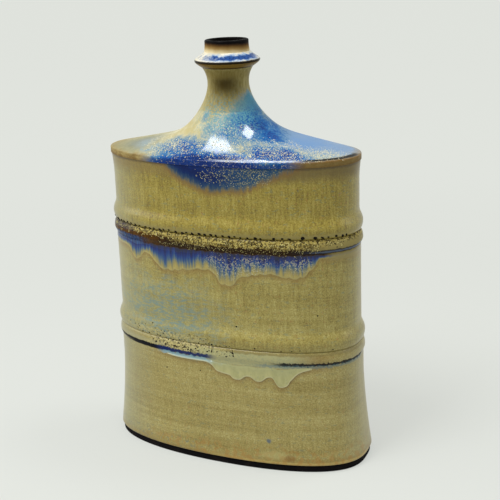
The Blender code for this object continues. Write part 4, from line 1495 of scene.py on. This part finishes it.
def upper_glaze():
    """Body glaze of the upper wall, with the blue pool hanging from the rim."""
    glaze, band, patch, crystals, lay = started("upper_wall_glaze")
    glaze.body((142, 126, 44), (103, 85, 24), (172, 157, 80), 1.15, 0.4, 0.36)
    top = band(199, 212, soft=4.0, ragged=1.5, grain=0.006)
    lay(top, (120, 98, 46), 0.6)
    # Painted shade: the band under the rim is laid darker toward the right end.
    lay(top * band(190, 215, 36, 120, 1, 16), (92, 78, 34), 0.55)
    _, above, front = glaze.edges("Pool edge")
    stray = glaze.noise(0.0026, (1.0, 1.0, 0.4), 4.0, 31.0, 0.65)
    ragged = above + (stray - 0.5) * 0.010
    pool_area = front * band(180, 215, -48, 64, 0.5, 6, 0.3)
    lay(glaze.between(ragged, -0.0050, 0.0) * pool_area, (118, 86, 34), 0.75)
    blue = glaze.ramp(
        glaze.between(ragged, -0.001, 0.013, False), (0.0, (104, 94, 60)), (0.16, (78, 88, 88)),
        (0.32, (34, 60, 92)), (0.52, (0, 34, 88)), (0.78, (0, 24, 78)), (1.0, (0, 36, 98)),
    )
    pool = glaze.between(ragged, -0.0020, 0.0030) * pool_area
    lay(pool, blue)
    right = pool * patch((34, -38, 202), (22, 30, 12), 0.6, 0.3)
    lay(right, (40, 78, 108), 0.6)
    lay(right * crystals(0.42, 0.0010), (150, 144, 96), 0.8)
    lay(band(205.2, 208.0, soft=0.6, ragged=0.5) * (1.0 - pool), (70, 52, 26), 0.5)
    lay(band(160.5, 164.5, soft=1.0, ragged=0.6), (144, 130, 64), 0.8)
    glaze.roughness = glaze.mix(pool, glaze.roughness, 0.15)
    return glaze.fire(glaze.mix(pool, 0.85, 0.25), 0.00012, 0.06, 0.30)


def shoulder_glaze():
    """Glossy shoulder with a browner band round its rim, and a painted highlight line on its front
    edge.
    """
    glaze, band, _, crystals, lay = started("shoulder_glaze")
    glassy, front = glaze.shoulder(), glaze.front()
    pool = front * band(190, 220, -44, 56, 1, 8, 1.5)
    bare = 1.0 - pool
    rim = band(200, 210.6, soft=1.1, ragged=0.7, grain=0.004) * bare
    mottle = glaze.noise(0.005, (1.0, 1.0, 1.6), 4.0, 45.0, 0.65)
    brown = glaze.paint(glaze.between(mottle, 0.35, 0.65), (116, 92, 44), (156, 136, 82))
    lay(rim, brown, 0.95)
    lay(rim * band(190, 220, 30, 120, end_soft=14), (106, 84, 38), 0.65)
    lay(band(209.4, 210.6, 40, 120, 0.5, 10, 0.4) * bare, (150, 106, 54), 0.35)
    # Painted highlight: a pale blue-white line along the front of the rim's rounded edge, where the
    # window light's reflection runs.
    lay(band(210.55, 211.3, 6, 58, 0.2, 8, 0.15) * front, (218, 226, 238), 0.62)
    edge_right = band(210.6, 211.3, 60, 120, 0.2, 5, 0.12) * front
    lay(edge_right, (6, 4, 5), 0.97)
    lay(band(200, 207.8, soft=0.8, ragged=0.6) * bare, (104, 78, 38), 0.5)
    deep = band(200, 209.4, soft=1.2, ragged=0.7) * pool
    lay(deep, (2, 38, 104), 0.75)
    lay(deep * crystals(0.34, 0.0011), "crystal", 0.7)
    glaze.roughness = glaze.mix(glassy, 0.46, 0.16)
    coat = glaze.mix(edge_right, glaze.mix(glassy, 0.05, 1.0), 0.0)
    return glaze.fire(coat, 0.00004, 0.11, 0.09)


def neck_glaze():
    """Neck: tan with a brown scorch, over the shoulder's glaze at its foot."""
    glaze, band, patch, _, lay = started("neck_glaze")
    glassy = glaze.shoulder()
    # Painted light: the left side of the neck is laid lighter, where the light falls.
    lay(patch((-14, -2, 248), (6, 14, 16), 0.6, 0.1), (172, 160, 108), 0.6)
    lay(patch((6, -14, 250), (14, 8, 13), 0.9, 0.1), (104, 90, 36), 0.6)
    lay(patch((4, -14, 253.5), (8, 6, 5.5), 0.9, 0.1), (50, 36, 0), 0.9)
    lay(band(257, 262.2, soft=2.0, ragged=0.5), (128, 110, 52), 0.5)
    glaze.roughness = 0.4
    return glaze.fire(glaze.mix(glassy, 0.0, 0.5), 0.00006, 0.08)


def collar_glaze():
    """Collar: cream slope with a speckled blue band, a black edge line and a brown underside."""
    glaze, band, patch, crystals, lay = started("collar_glaze")
    cloud = glaze.noise(0.006, None, 3.0, 51.0)
    cream = glaze.between(cloud, 0.35, 0.65)
    glaze.colour = glaze.paint(cream, (208, 200, 172), (224, 218, 198))
    side = patch((12, -11, 270), (20, 16, 8), 0.5, 0.35)
    wide = band(268.0, 271.8, soft=0.9, ragged=0.9, grain=0.003) * side
    lay(wide, (104, 150, 196), 0.8)
    lay(wide * crystals(0.34, 0.0010), (40, 100, 160), 0.8)
    ring = band(268.7, 271.0, soft=0.45, ragged=0.6, grain=0.003) * side
    lay(ring, (4, 64, 132), 0.96)
    lay(ring * crystals(0.5, 0.0011), (0, 34, 92), 0.9)
    under = band(250, 267.5, soft=0.3, ragged=0.15)
    lay(under, (118, 92, 38))
    lay(band(266.4, 268.0, soft=0.25, ragged=0.12), (20, 15, 11), 0.95)
    lay(band(262.0, 264.0, soft=0.3, ragged=0.1), (60, 46, 26), 0.85)
    glaze.roughness = glaze.mix(cloud, 0.2, 0.3)
    glaze.height = cloud
    return glaze.fire(glaze.mix(under, 0.25, 0.0), 0.0001, 0.04, 0.06)


def lip_glaze():
    """Lip: cream that thins to brown and burns black at the mouth, with painted shade inside the
    bore.
    """
    glaze = Glaze("lip_glaze")
    x, _, z = glaze.parts(glaze.point)
    stray = glaze.noise(0.004, (1.0, 1.0, 0.5), 3.0, 61.0)
    z = x * 0.035 + ((stray - 0.5) * 0.002 + z)
    glaze.colour = glaze.ramp(
        glaze.between(z, 0.2722, 0.2800, False), (0.0, (226, 212, 176)), (0.16, (206, 188, 144)),
        (0.38, (150, 122, 72)), (0.60, (96, 68, 32)), (0.74, (44, 29, 16)), (0.83, (6, 4, 5)),
    )
    # Painted shade: the inside of the bore and the inner part of the lip top are laid near black;
    # the mouth's burnt glaze is black there too.
    from_axis = glaze.vector("LENGTH", glaze.vector("MULTIPLY", glaze.point, (1.0, 1.0, 0.0)))
    inner = glaze.between(from_axis, 0.0134, 0.0122)
    glaze.lay(inner, (8, 6, 5), 0.95)
    glaze.roughness = glaze.mix(stray, 0.5, 0.7)
    glaze.height = stray
    return glaze.fire(glaze.mix(inner, 0.08, 0.0), 0.0002, 0.02, 0.15)


def cobalt_run_glaze():
    """Thick cobalt run, glossy, with pale crystals across its middle."""
    glaze, _, patch, crystals, lay = started("cobalt_run_glaze")
    share, above, _ = glaze.edges("Cobalt run edge")
    glaze.colour, thick = glaze.cobalt(share)
    middle = glaze.most(
        patch((20, -38, 143), (22, 30, 9), 0.5, 0.3), patch((56, -30, 146), (10, 20, 7), 0.5, 0.3)
    )
    lay(middle * crystals(0.45, 0.0011), (168, 164, 134), 0.8)
    lay(glaze.between(share, 0.16, -0.02) * crystals(0.8, 0.003), (50, 36, 22), 0.7)
    rim = glaze.between(above, 0.0018, 0.0002) * glaze.between(share, 0.5, 0.8)
    lay(rim, (172, 160, 104), 0.55)
    glaze.roughness = glaze.mix(thick, 0.3, 0.14)
    glaze.height = glaze.noise(0.0014, (1.0, 1.0, 0.08), 2.0, 71.0)
    return glaze.fire(0.7, 0.00012, 0.1)


def pale_run_glaze():
    """Thick pale run, milky green-cream with a lighter rolled edge."""
    glaze, _, patch, crystals, lay = started("pale_run_glaze")
    share, above, _ = glaze.edges("Pale run edge")
    cloud = glaze.noise(0.004, (1.0, 1.0, 0.4), 4.0, 81.0, 0.6)
    glaze.colour = glaze.paint(glaze.between(cloud, 0.35, 0.65), (158, 156, 104), "pale_run")
    lay(glaze.between(share, 0.75, 0.05), (156, 156, 110), 0.7)
    lay(patch((-22, -38, 76), (22, 20, 4), 0.5, 0.3), (142, 176, 184), 0.8)
    lay(glaze.between(above, 0.0016, 0.0002), (196, 190, 146), 0.85)
    lay(crystals(0.3, 0.002), (112, 126, 108), 0.5)
    glaze.roughness = glaze.mix(cloud, 0.14, 0.22)
    glaze.height = cloud
    return glaze.fire(0.7, 0.00012, 0.1)


def cloudy_glaze(name, size, seed, limits, shades, roughness):
    """A small piece's glaze, clouded from one shade to another."""
    glaze = Glaze(name)
    cloud = glaze.noise(size, None, 3.0, seed)
    share = glaze.between(cloud, *limits) if limits else cloud
    glaze.colour = glaze.paint(share, *shades)
    glaze.roughness = glaze.mix(cloud, *roughness)
    glaze.height = cloud
    return glaze


def crystal_glaze(name, *colour):
    """Opaque crystal, matt on its crown."""
    shades = [(*Vector(display(*colour)) * shade, 1.0) for shade in (0.7, 1.15)]
    glaze = cloudy_glaze(name, 0.0025, 91.0, (0.35, 0.65), shades, (0.35, 0.55))
    return glaze.fire(0.4, 0.00005)


def pinhole_clay():
    """Black pit of a pinhole or an iron speck."""
    shades = (6, 5, 4), (26, 19, 13)
    glaze = cloudy_glaze("pinhole_black", 0.0008, 95.0, None, shades, (0.5, 0.8))
    return glaze.fire(0.0, 0.00006, 0.1)


def signed_power(value, power):
    """A power of a number's size, with its sign kept."""
    return math.copysign(abs(value) ** power, value)


def run_angle(place):
    """Angle round the oval at a place along its front."""
    return 2.0 * math.pi - math.acos(signed_power(place, LENGTH_CURVE / 2.0))


def front_point(angle, height, growth):
    """Point of the body's oval at an angle and a height."""
    depth_curve = mix(FOOT_DEPTH_CURVE, RIM_DEPTH_CURVE, min(height / RIM_TOP, 1.0))
    x = signed_power(math.cos(angle), 2.0 / LENGTH_CURVE)
    y = signed_power(math.sin(angle), 2.0 / depth_curve)
    return Vector(((BODY_HALF_LENGTH + growth) * x, (BODY_HALF_DEPTH + growth) * y, height))


def marks_mesh(name, places=()):
    """Loose points."""
    mesh = bpy.data.meshes.new(name)
    mesh.from_pydata(places, [], [])
    return mesh


def seam_marks(name, height, growth, left, right, spacing):
    """Marks evenly spaced on the front of the body at a height, from one place to another."""
    first, last = run_angle(left), run_angle(right)
    places = [front_point(first, height, growth)]
    for share in steps(MARK_STEPS):
        place = front_point(mix(first, last, share), height, growth)
        if (place - places[-1]).length >= spacing:
            places.append(place)
    return marks_mesh(name, places)


def seat_pinholes(name, wall, marks, size, stray, left_out, material):
    """Pinholes at some marks on a wall."""
    specks = bpy.context.scene.vase_specks
    piece = shaped_piece(
        name, grouped("Pinholes along a seam", pinholes_tree), marks,
        Wall=bpy.data.objects["glazed_" + wall + "_wall"], Hole_Size=size * specks.pinhole_size,
        Stray=stray, Sink=PINHOLE_SINK, Left_Out=left_out, Seed=specks.seed, Material=material,
    )
    seat(piece, "burnt_rim")


def strewn_crystals(name, bed, low, high, **values):
    """Crystals on the part of a bed between two corners, given in millimetres."""
    return shaped_piece(
        name, grouped("Crystals over a piece", crystals_tree), marks_mesh(name + "_start"),
        Bed=bpy.data.objects[bed], Low_Corner=metres(low), High_Corner=metres(high), **values,
    )


# Rows of pinholes: wall, height, growth, first and last place, and shares of the set spacing
# and size, and of the holes left out
PINHOLE_ROWS = {
    "upper_seam_pinholes": ("upper", 0.1622, 0.0, -0.97, 0.97, 1.0, 1.0, 0.06),
    "lower_bead_pinholes": ("middle", 0.0868, 0.0012, -0.66, 0.06, 0.6, 0.6, 0.3),
    "right_bead_pinholes": ("middle", 0.0872, 0.0014, 0.10, 0.92, 0.8, 0.5, 0.5),
}

# Crystals: material, bed, first and last x, last y, low and high z, fade, spacing, clumps, size
# of a clump, all in millimetres, share of the set grain size, and step of the seed
CRYSTAL_BEDS = {
    "bead_crystals": (
        "yellow", "glazed_middle_wall", -88, 84, 5, 155.5, 161.6, 3, 1.05, 0.9, 3, 1.15, 0),
    "flank_crystals": (
        "yellow", "glazed_middle_wall", -40, 72, 5, 150.5, 158.5, 4, 0.9, 0.8, 3.5, 0.85, 7),
    "left_seam_pits": (
        "black", "glazed_middle_wall", -91, -24, 5, 157, 162, 3, 1.5, 0.5, 5, 1.3, 10),
    "seam_pits": (
        "black", "glazed_middle_wall", -40, 84, 5, 154.5, 162, 3, 1.9, 0.6, 4, 1.1, 14),
    "pool_wall_crystals": (
        "dusty", "glazed_upper_wall", -10, 44, 5, 193, 209, 6, 1.15, 0.8, 5, 0.92, 11),
    "run_crystals": (
        "pale", "cobalt_glaze_run", -4, 42, 5, 132, 153.5, 5, 1.25, 0.9, 4, 0.8, 1),
    "right_run_crystals": (
        "pale", "cobalt_glaze_run", 46, 66, 5, 139, 153.5, 4, 1.25, 0.8, 4, 0.8, 9),
    "pool_crystals": (
        "cream", "glazed_shoulder", -48, 62, -12, 208, 225, 6, 0.96, 0.8, 5, 0.92, 2),
    "left_pool_crystals": (
        "cream", "glazed_shoulder", -52, 0, -8, 210.5, 223, 5, 1.0, 0.7, 5, 0.92, 16),
    "right_pool_crystals": (
        "cream", "glazed_shoulder", 10, 84, -6, 208.5, 221, 5, 0.88, 0.7, 5, 0.92, 15),
    "lower_bead_crystals": (
        "yellow", "glazed_lower_wall", -56, 10, 5, 79, 86, 2, 1.0, 0.8, 4, 1.0, 3),
    "lower_bead_pits": (
        "black", "glazed_lower_wall", -54, 16, 5, 78.5, 86, 4, 1.8, 0.5, 6, 1.65, 8),
    "above_bead_pits": (
        "black", "glazed_middle_wall", -72, 0, 5, 87, 94, 3, 1.9, 0.7, 6, 1.2, 12),
    "above_bead_crystals": (
        "yellow", "glazed_middle_wall", -64, -2, 5, 86.6, 91.5, 3, 1.0, 0.9, 4, 0.9, 13),
}
CRYSTAL_COLOURS = {
    "yellow": (184, 172, 104), "pale": (176, 172, 142), "cream": (204, 198, 162),
    "dusty": (172, 166, 122),
}

# Low and high z of the iron specks on each wall, in millimetres
SPECK_HEIGHTS = {"lower": (12, 74), "middle": (90, 128), "upper": (168, 200)}

# Soft lights: azimuth, elevation, distance, width, depth and the name of their strength
SOFTBOXES = {
    "overhead_softbox": (-20.0, 78.0, 1.7, 1.3, 1.3, "overhead"),
    "window_light": (-29.0, 59.0, 1.6, 0.54, 0.80, "window"),
    "right_lamp": (125.0, 69.0, 1.5, 0.38, 0.38, "lamp"),
    "left_softbox": (-68.0, 28.0, 2.2, 1.4, 1.4, "left_fill"),
    "right_softbox": (98.0, 24.0, 2.2, 1.2, 1.2, "right_fill"),
}
LIGHT_TARGET = Vector((0.0, 0.0, 0.15))

# The fitted camera
CAMERA_PLACE = Vector((0.2639, -0.5690, 0.33918))
CAMERA_TARGET = Vector((0.00832, 0.00371, 0.12185))
CAMERA_ROLL = -math.radians(2.223)
CAMERA_SHIFT = 0.05
SENSOR_WIDTH = 36.0
NEAREST, FARTHEST = 0.05, 60.0

# The floor: its radius, and shades where it is lit and where it is seen near and far
FLOOR_RADIUS = 9.0
FLOOR_SHADE = 0.78
NEAR_FLOOR, FAR_FLOOR = 0.15, 0.9
NEAR_GLOW, FAR_GLOW = 0.62, 0.96


class VASE_OT_make_foot(Operator):
    """Make the bare foot slab"""

    bl_idname = "vase.make_foot"
    bl_label = "Bare foot"

    def execute(self, context):
        columns = context.scene.vase_form.body_columns
        piece = clay_section("bare_foot", foot_rings(), bare_clay(), columns, closed=False)
        seat(piece, "bare_clay", "foot_slab")
        return {"FINISHED"}


class VASE_OT_make_walls(Operator):
    """Make the three glazed walls of the oval body"""

    bl_idname = "vase.make_walls"
    bl_label = "Body walls"

    def execute(self, context):
        form = context.scene.vase_form
        for node, rings, material in (
            ("lower_wall", lower_wall_rings(form), lower_glaze()),
            ("middle_wall", middle_wall_rings(form), middle_glaze()),
            ("upper_wall", upper_wall_rings(form), upper_glaze()),
        ):
            piece = clay_section("glazed_" + node, rings, material, form.body_columns)
            seat(piece, "tan_glaze", node)
        return {"FINISHED"}


class VASE_OT_make_shoulder(Operator):
    """Make the domed shoulder with its rim band"""

    bl_idname = "vase.make_shoulder"
    bl_label = "Shoulder"

    def execute(self, context):
        columns = context.scene.vase_form.body_columns
        piece = clay_section("glazed_shoulder", shoulder_rings(), shoulder_glaze(), columns)
        seat(piece, "blue_glaze", "shoulder")
        return {"FINISHED"}


class VASE_OT_make_mouth(Operator):
    """Make the turned neck, collar and lip"""

    bl_idname = "vase.make_mouth"
    bl_label = "Neck, collar and lip"

    def execute(self, context):
        for name, rings, material, slot, node in (
            ("glazed_neck", neck_rings(), neck_glaze(), "tan_glaze", "neck"),
            ("glazed_collar", collar_rings(), collar_glaze(), "cream_glaze", "collar"),
            ("burnt_lip", lip_rings(), lip_glaze(), "burnt_rim", "lip"),
        ):
            columns = context.scene.vase_form.neck_columns
            seat(clay_section(name, rings, material, columns), slot, node)
        return {"FINISHED"}


class VASE_OT_make_runs(Operator):
    """Make the cobalt run under the upper bead and the pale run under the lower bead"""

    bl_idname = "vase.make_runs"
    bl_label = "Glaze runs"

    def execute(self, context):
        runs = context.scene.vase_runs
        for name, wall, edge, thickness, material, slot, node in (
            ("cobalt_glaze_run", "glazed_middle_wall", "Cobalt run edge", runs.upper_thickness,
             cobalt_run_glaze(), "cobalt_run", "glaze_run_upper"),
            ("pale_glaze_run", "glazed_lower_wall", "Pale run edge", runs.lower_thickness,
             pale_run_glaze(), "pale_run", "glaze_run_lower"),
        ):
            marks, top, length, growth, scallop = run_sizes()[edge]
            tree = glaze_run_tree("Glaze run: " + name, marks, scallop)
            piece = shaped_piece(
                name, tree, marks_mesh(name + "_start"), Wall=bpy.data.objects[wall],
                Columns=runs.columns, Start_Angle=run_angle(marks[0][0]),
                End_Angle=run_angle(marks[-1][0]), Top=top, Run_Length=length,
                Thickness=thickness, Sink=runs.sink, Roll_Width=runs.roll_width,
                Half_Length=BODY_HALF_LENGTH + growth, Half_Depth=BODY_HALF_DEPTH + growth,
                Material=material,
            )
            seat(piece, slot, node)
        return {"FINISHED"}


class VASE_OT_make_pinholes(Operator):
    """Make the rows of pinholes along the seams and the single pits in the walls"""

    bl_idname = "vase.make_pinholes"
    bl_label = "Pinholes"

    def execute(self, context):
        material = pinhole_clay()
        spacing = context.scene.vase_specks.pinhole_spacing
        for name, (wall, height, growth, left, right, apart, size, out) in PINHOLE_ROWS.items():
            marks = seam_marks(name, height, growth, left, right, spacing * apart)
            seat_pinholes(name, wall, marks, size, PINHOLE_STRAY, out, material)
        for wall, low, high in (("lower", 0.0, LOWER_SEAM), ("middle", LOWER_SEAM, UPPER_SEAM)):
            name = wall + "_wall_pits"
            marks = marks_mesh(name, [
                front_point(run_angle(x / 1000.0 / BODY_HALF_LENGTH), z / 1000.0, PIT_GROWTH)
                for x, z in PIT_MARKS if low < z / 1000.0 < high
            ])
            seat_pinholes(name, wall, marks, PIT_SHARE, 0.0, 0.0, material)
        return {"FINISHED"}


class VASE_OT_make_crystals(Operator):
    """Strew the cream crystals and dark pits over the beads, the cobalt run and the pool"""

    bl_idname = "vase.make_crystals"
    bl_label = "Crystals"

    def execute(self, context):
        specks = context.scene.vase_specks
        materials = {
            name: crystal_glaze(name + "_crystal", *colour)
            for name, colour in CRYSTAL_COLOURS.items()
        }
        materials["black"] = pinhole_clay()
        for name, values in CRYSTAL_BEDS.items():
            material, bed, left, right, back, low, high, *values = values
            fade, spacing, clumps, clump_size, grain, seed_step = values
            fade, spacing, clump_size = metres((fade, spacing, clump_size))
            piece = strewn_crystals(
                name, bed, (left, CRYSTAL_FRONT, low), (right, back, high), Fade=fade,
                Spacing=spacing, Clumps=clumps, Clump_Size=clump_size,
                Grain_Size=specks.crystal_size * grain, Flatness=CRYSTAL_FLATNESS,
                Sink=CRYSTAL_SINK, Seed=specks.seed + seed_step, Material=materials[material],
            )
            seat(piece, "cream_glaze")
        return {"FINISHED"}


class VASE_OT_make_specks(Operator):
    """Strew a few iron specks over the walls"""

    bl_idname = "vase.make_specks"
    bl_label = "Iron specks"

    def execute(self, context):
        specks = context.scene.vase_specks
        material = pinhole_clay()
        for wall, (low, high) in SPECK_HEIGHTS.items():
            piece = strewn_crystals(
                wall + "_wall_specks", "glazed_" + wall + "_wall", (*SPECK_CORNERS[0], low),
                (*SPECK_CORNERS[1], high), Fade=SPECK_FADE, Spacing=SPECK_SPACING, Clumps=0.0,
                Grain_Size=specks.speck_size, Flatness=SPECK_FLATNESS, Sink=SPECK_SINK,
                Seed=specks.seed + SPECK_SEED_STEP, Material=material,
            )
            seat(piece, "burnt_rim")
        return {"FINISHED"}


class VASE_OT_make_stage(Operator):
    """Make the pale floor, the soft lights and the camera"""

    bl_idname = "vase.make_stage"
    bl_label = "Stage"

    def execute(self, context):
        settings = context.scene.vase_stage
        make_floor(settings)
        make_sky(settings)
        for name, (*shape, strength) in SOFTBOXES.items():
            make_softbox(name, *shape, getattr(settings, strength))
        make_camera(settings)
        context.scene.view_settings.view_transform = "Standard"
        return {"FINISHED"}


def make_floor(settings):
    """Wide pale floor that keeps the vase's soft shadow."""
    shape = bmesh.new()
    bmesh.ops.create_circle(shape, cap_ends=True, segments=96, radius=FLOOR_RADIUS)
    mesh = bpy.data.meshes.new("pale_floor")
    shape.to_mesh(mesh)
    shape.free()
    floor = bpy.data.objects.new("pale_floor", mesh)
    bpy.context.scene.collection.objects.link(floor)
    material = new_material("pale_floor")
    wiring = Wiring(material.node_tree)
    colour = Vector(settings.floor)
    lit = wiring.get("ShaderNodeBsdfDiffuse", {"Color": (*colour * FLOOR_SHADE, 1.0)})
    plain = wiring.get("ShaderNodeEmission", {"Color": (*colour, 1.0), "Strength": 1.0})
    point = wiring.get("ShaderNodeTexCoord", key="Object")
    far = wiring.between(wiring.vector("LENGTH", point), NEAR_FLOOR, FAR_FLOOR)
    glow = seen_share(wiring) * wiring.mix(far, NEAR_GLOW, FAR_GLOW)
    both = wiring.get("ShaderNodeMixShader", {0: glow, 1: lit, 2: plain})
    wiring.put("ShaderNodeOutputMaterial", {"Surface": both})
    mesh.materials.append(material)


def seen_share(wiring):
    """Whether the camera sees the surface, itself or through gloss or glass."""
    path = wiring.put("ShaderNodeLightPath").outputs
    rays = ("Is Camera Ray", "Is Glossy Ray", "Is Transmission Ray")
    return wiring.most(*(Value(wiring, path[ray]) for ray in rays))


def make_sky(settings):
    """Even pale light from all round, which the camera sees as the background."""
    world = bpy.data.worlds.new("pale_sky")
    world.use_nodes = True
    world.node_tree.nodes.clear()
    wiring = Wiring(world.node_tree)
    seen = seen_share(wiring)
    light = wiring.get("ShaderNodeBackground", {
        "Color": wiring.paint(seen, (1.0, 1.0, 1.0, 1.0), (*settings.floor, 1.0)),
        "Strength": wiring.mix(seen, settings.sky, 1.0),
    })
    wiring.put("ShaderNodeOutputWorld", {"Surface": light})
    bpy.context.scene.world = world


def make_softbox(name, azimuth, elevation, distance, width, depth, power):
    """A rectangular light aimed at the vase. Azimuth 0 is in front of it, and 90 at its right."""
    light = bpy.data.lights.new(name, "AREA")
    light.shape = "RECTANGLE"
    light.size, light.size_y, light.energy = width, depth, power
    lamp = bpy.data.objects.new(name, light)
    turn, rise = math.radians(azimuth), math.radians(elevation)
    level = math.cos(rise)
    away = Vector((math.sin(turn) * level, -math.cos(turn) * level, math.sin(rise)))
    lamp.location = LIGHT_TARGET + away * distance
    lamp.rotation_mode = "QUATERNION"
    lamp.rotation_quaternion = (-away).to_track_quat("-Z", "Y")
    bpy.context.scene.collection.objects.link(lamp)


def make_camera(settings):
    """Camera at the photograph's angle."""
    data = bpy.data.cameras.new("photo_camera")
    data.lens, data.sensor_width = settings.lens, SENSOR_WIDTH
    data.shift_y = CAMERA_SHIFT
    data.clip_start, data.clip_end = NEAREST, FARTHEST
    camera = bpy.data.objects.new("photo_camera", data)
    bpy.context.scene.collection.objects.link(camera)
    camera.location = CAMERA_PLACE
    sight = CAMERA_TARGET - camera.location
    camera.rotation_mode = "QUATERNION"
    tilt = Quaternion((0.0, 0.0, 1.0), CAMERA_ROLL)
    camera.rotation_quaternion = sight.to_track_quat("-Z", "Y") @ tilt
    bpy.context.scene.camera = camera


OPERATORS = (
    VASE_OT_make_foot, VASE_OT_make_walls, VASE_OT_make_shoulder, VASE_OT_make_mouth,
    VASE_OT_make_runs, VASE_OT_make_pinholes, VASE_OT_make_crystals, VASE_OT_make_specks,
    VASE_OT_make_stage,
)
SETTINGS = {
    "vase_form": FormSizes, "vase_runs": GlazeRunSizes, "vase_colours": GlazeColours,
    "vase_specks": SpeckSettings, "vase_stage": StageSettings,
}


class VASE_PT_builder(Panel):
    """Sizes, colours and steps of the vase"""

    bl_label = "Bottle vase"
    bl_idname = "VASE_PT_builder"
    bl_space_type = "VIEW_3D"
    bl_region_type = "UI"
    bl_category = "Vase"

    def draw(self, context):
        for group in SETTINGS:
            settings = getattr(context.scene, group)
            box = self.layout.box()
            box.label(text=group.replace("vase_", "").capitalize())
            for name in settings.bl_rna.properties.keys():
                if name not in ("rna_type", "name"):
                    box.prop(settings, name)
        column = self.layout.column(align=True)
        for step in OPERATORS:
            column.operator(step.bl_idname)


def register():
    """Adds the settings, the steps and the panel."""
    for name, kind in SETTINGS.items():
        bpy.utils.register_class(kind)
        setattr(bpy.types.Scene, name, PointerProperty(type=kind))
    for step in (*OPERATORS, VASE_PT_builder):
        bpy.utils.register_class(step)


def unregister():
    """Takes them away again."""
    for step in reversed((*OPERATORS, VASE_PT_builder)):
        bpy.utils.unregister_class(step)
    for name, kind in reversed(SETTINGS.items()):
        delattr(bpy.types.Scene, name)
        bpy.utils.unregister_class(kind)


def main():
    """Builds every piece and the stage."""
    register()
    bpy.ops.vase.make_foot()
    bpy.ops.vase.make_walls()
    bpy.ops.vase.make_shoulder()
    bpy.ops.vase.make_mouth()
    bpy.ops.vase.make_runs()
    bpy.ops.vase.make_pinholes()
    bpy.ops.vase.make_crystals()
    bpy.ops.vase.make_specks()
    bpy.ops.vase.make_stage()


if __name__ == "__main__":
    main()
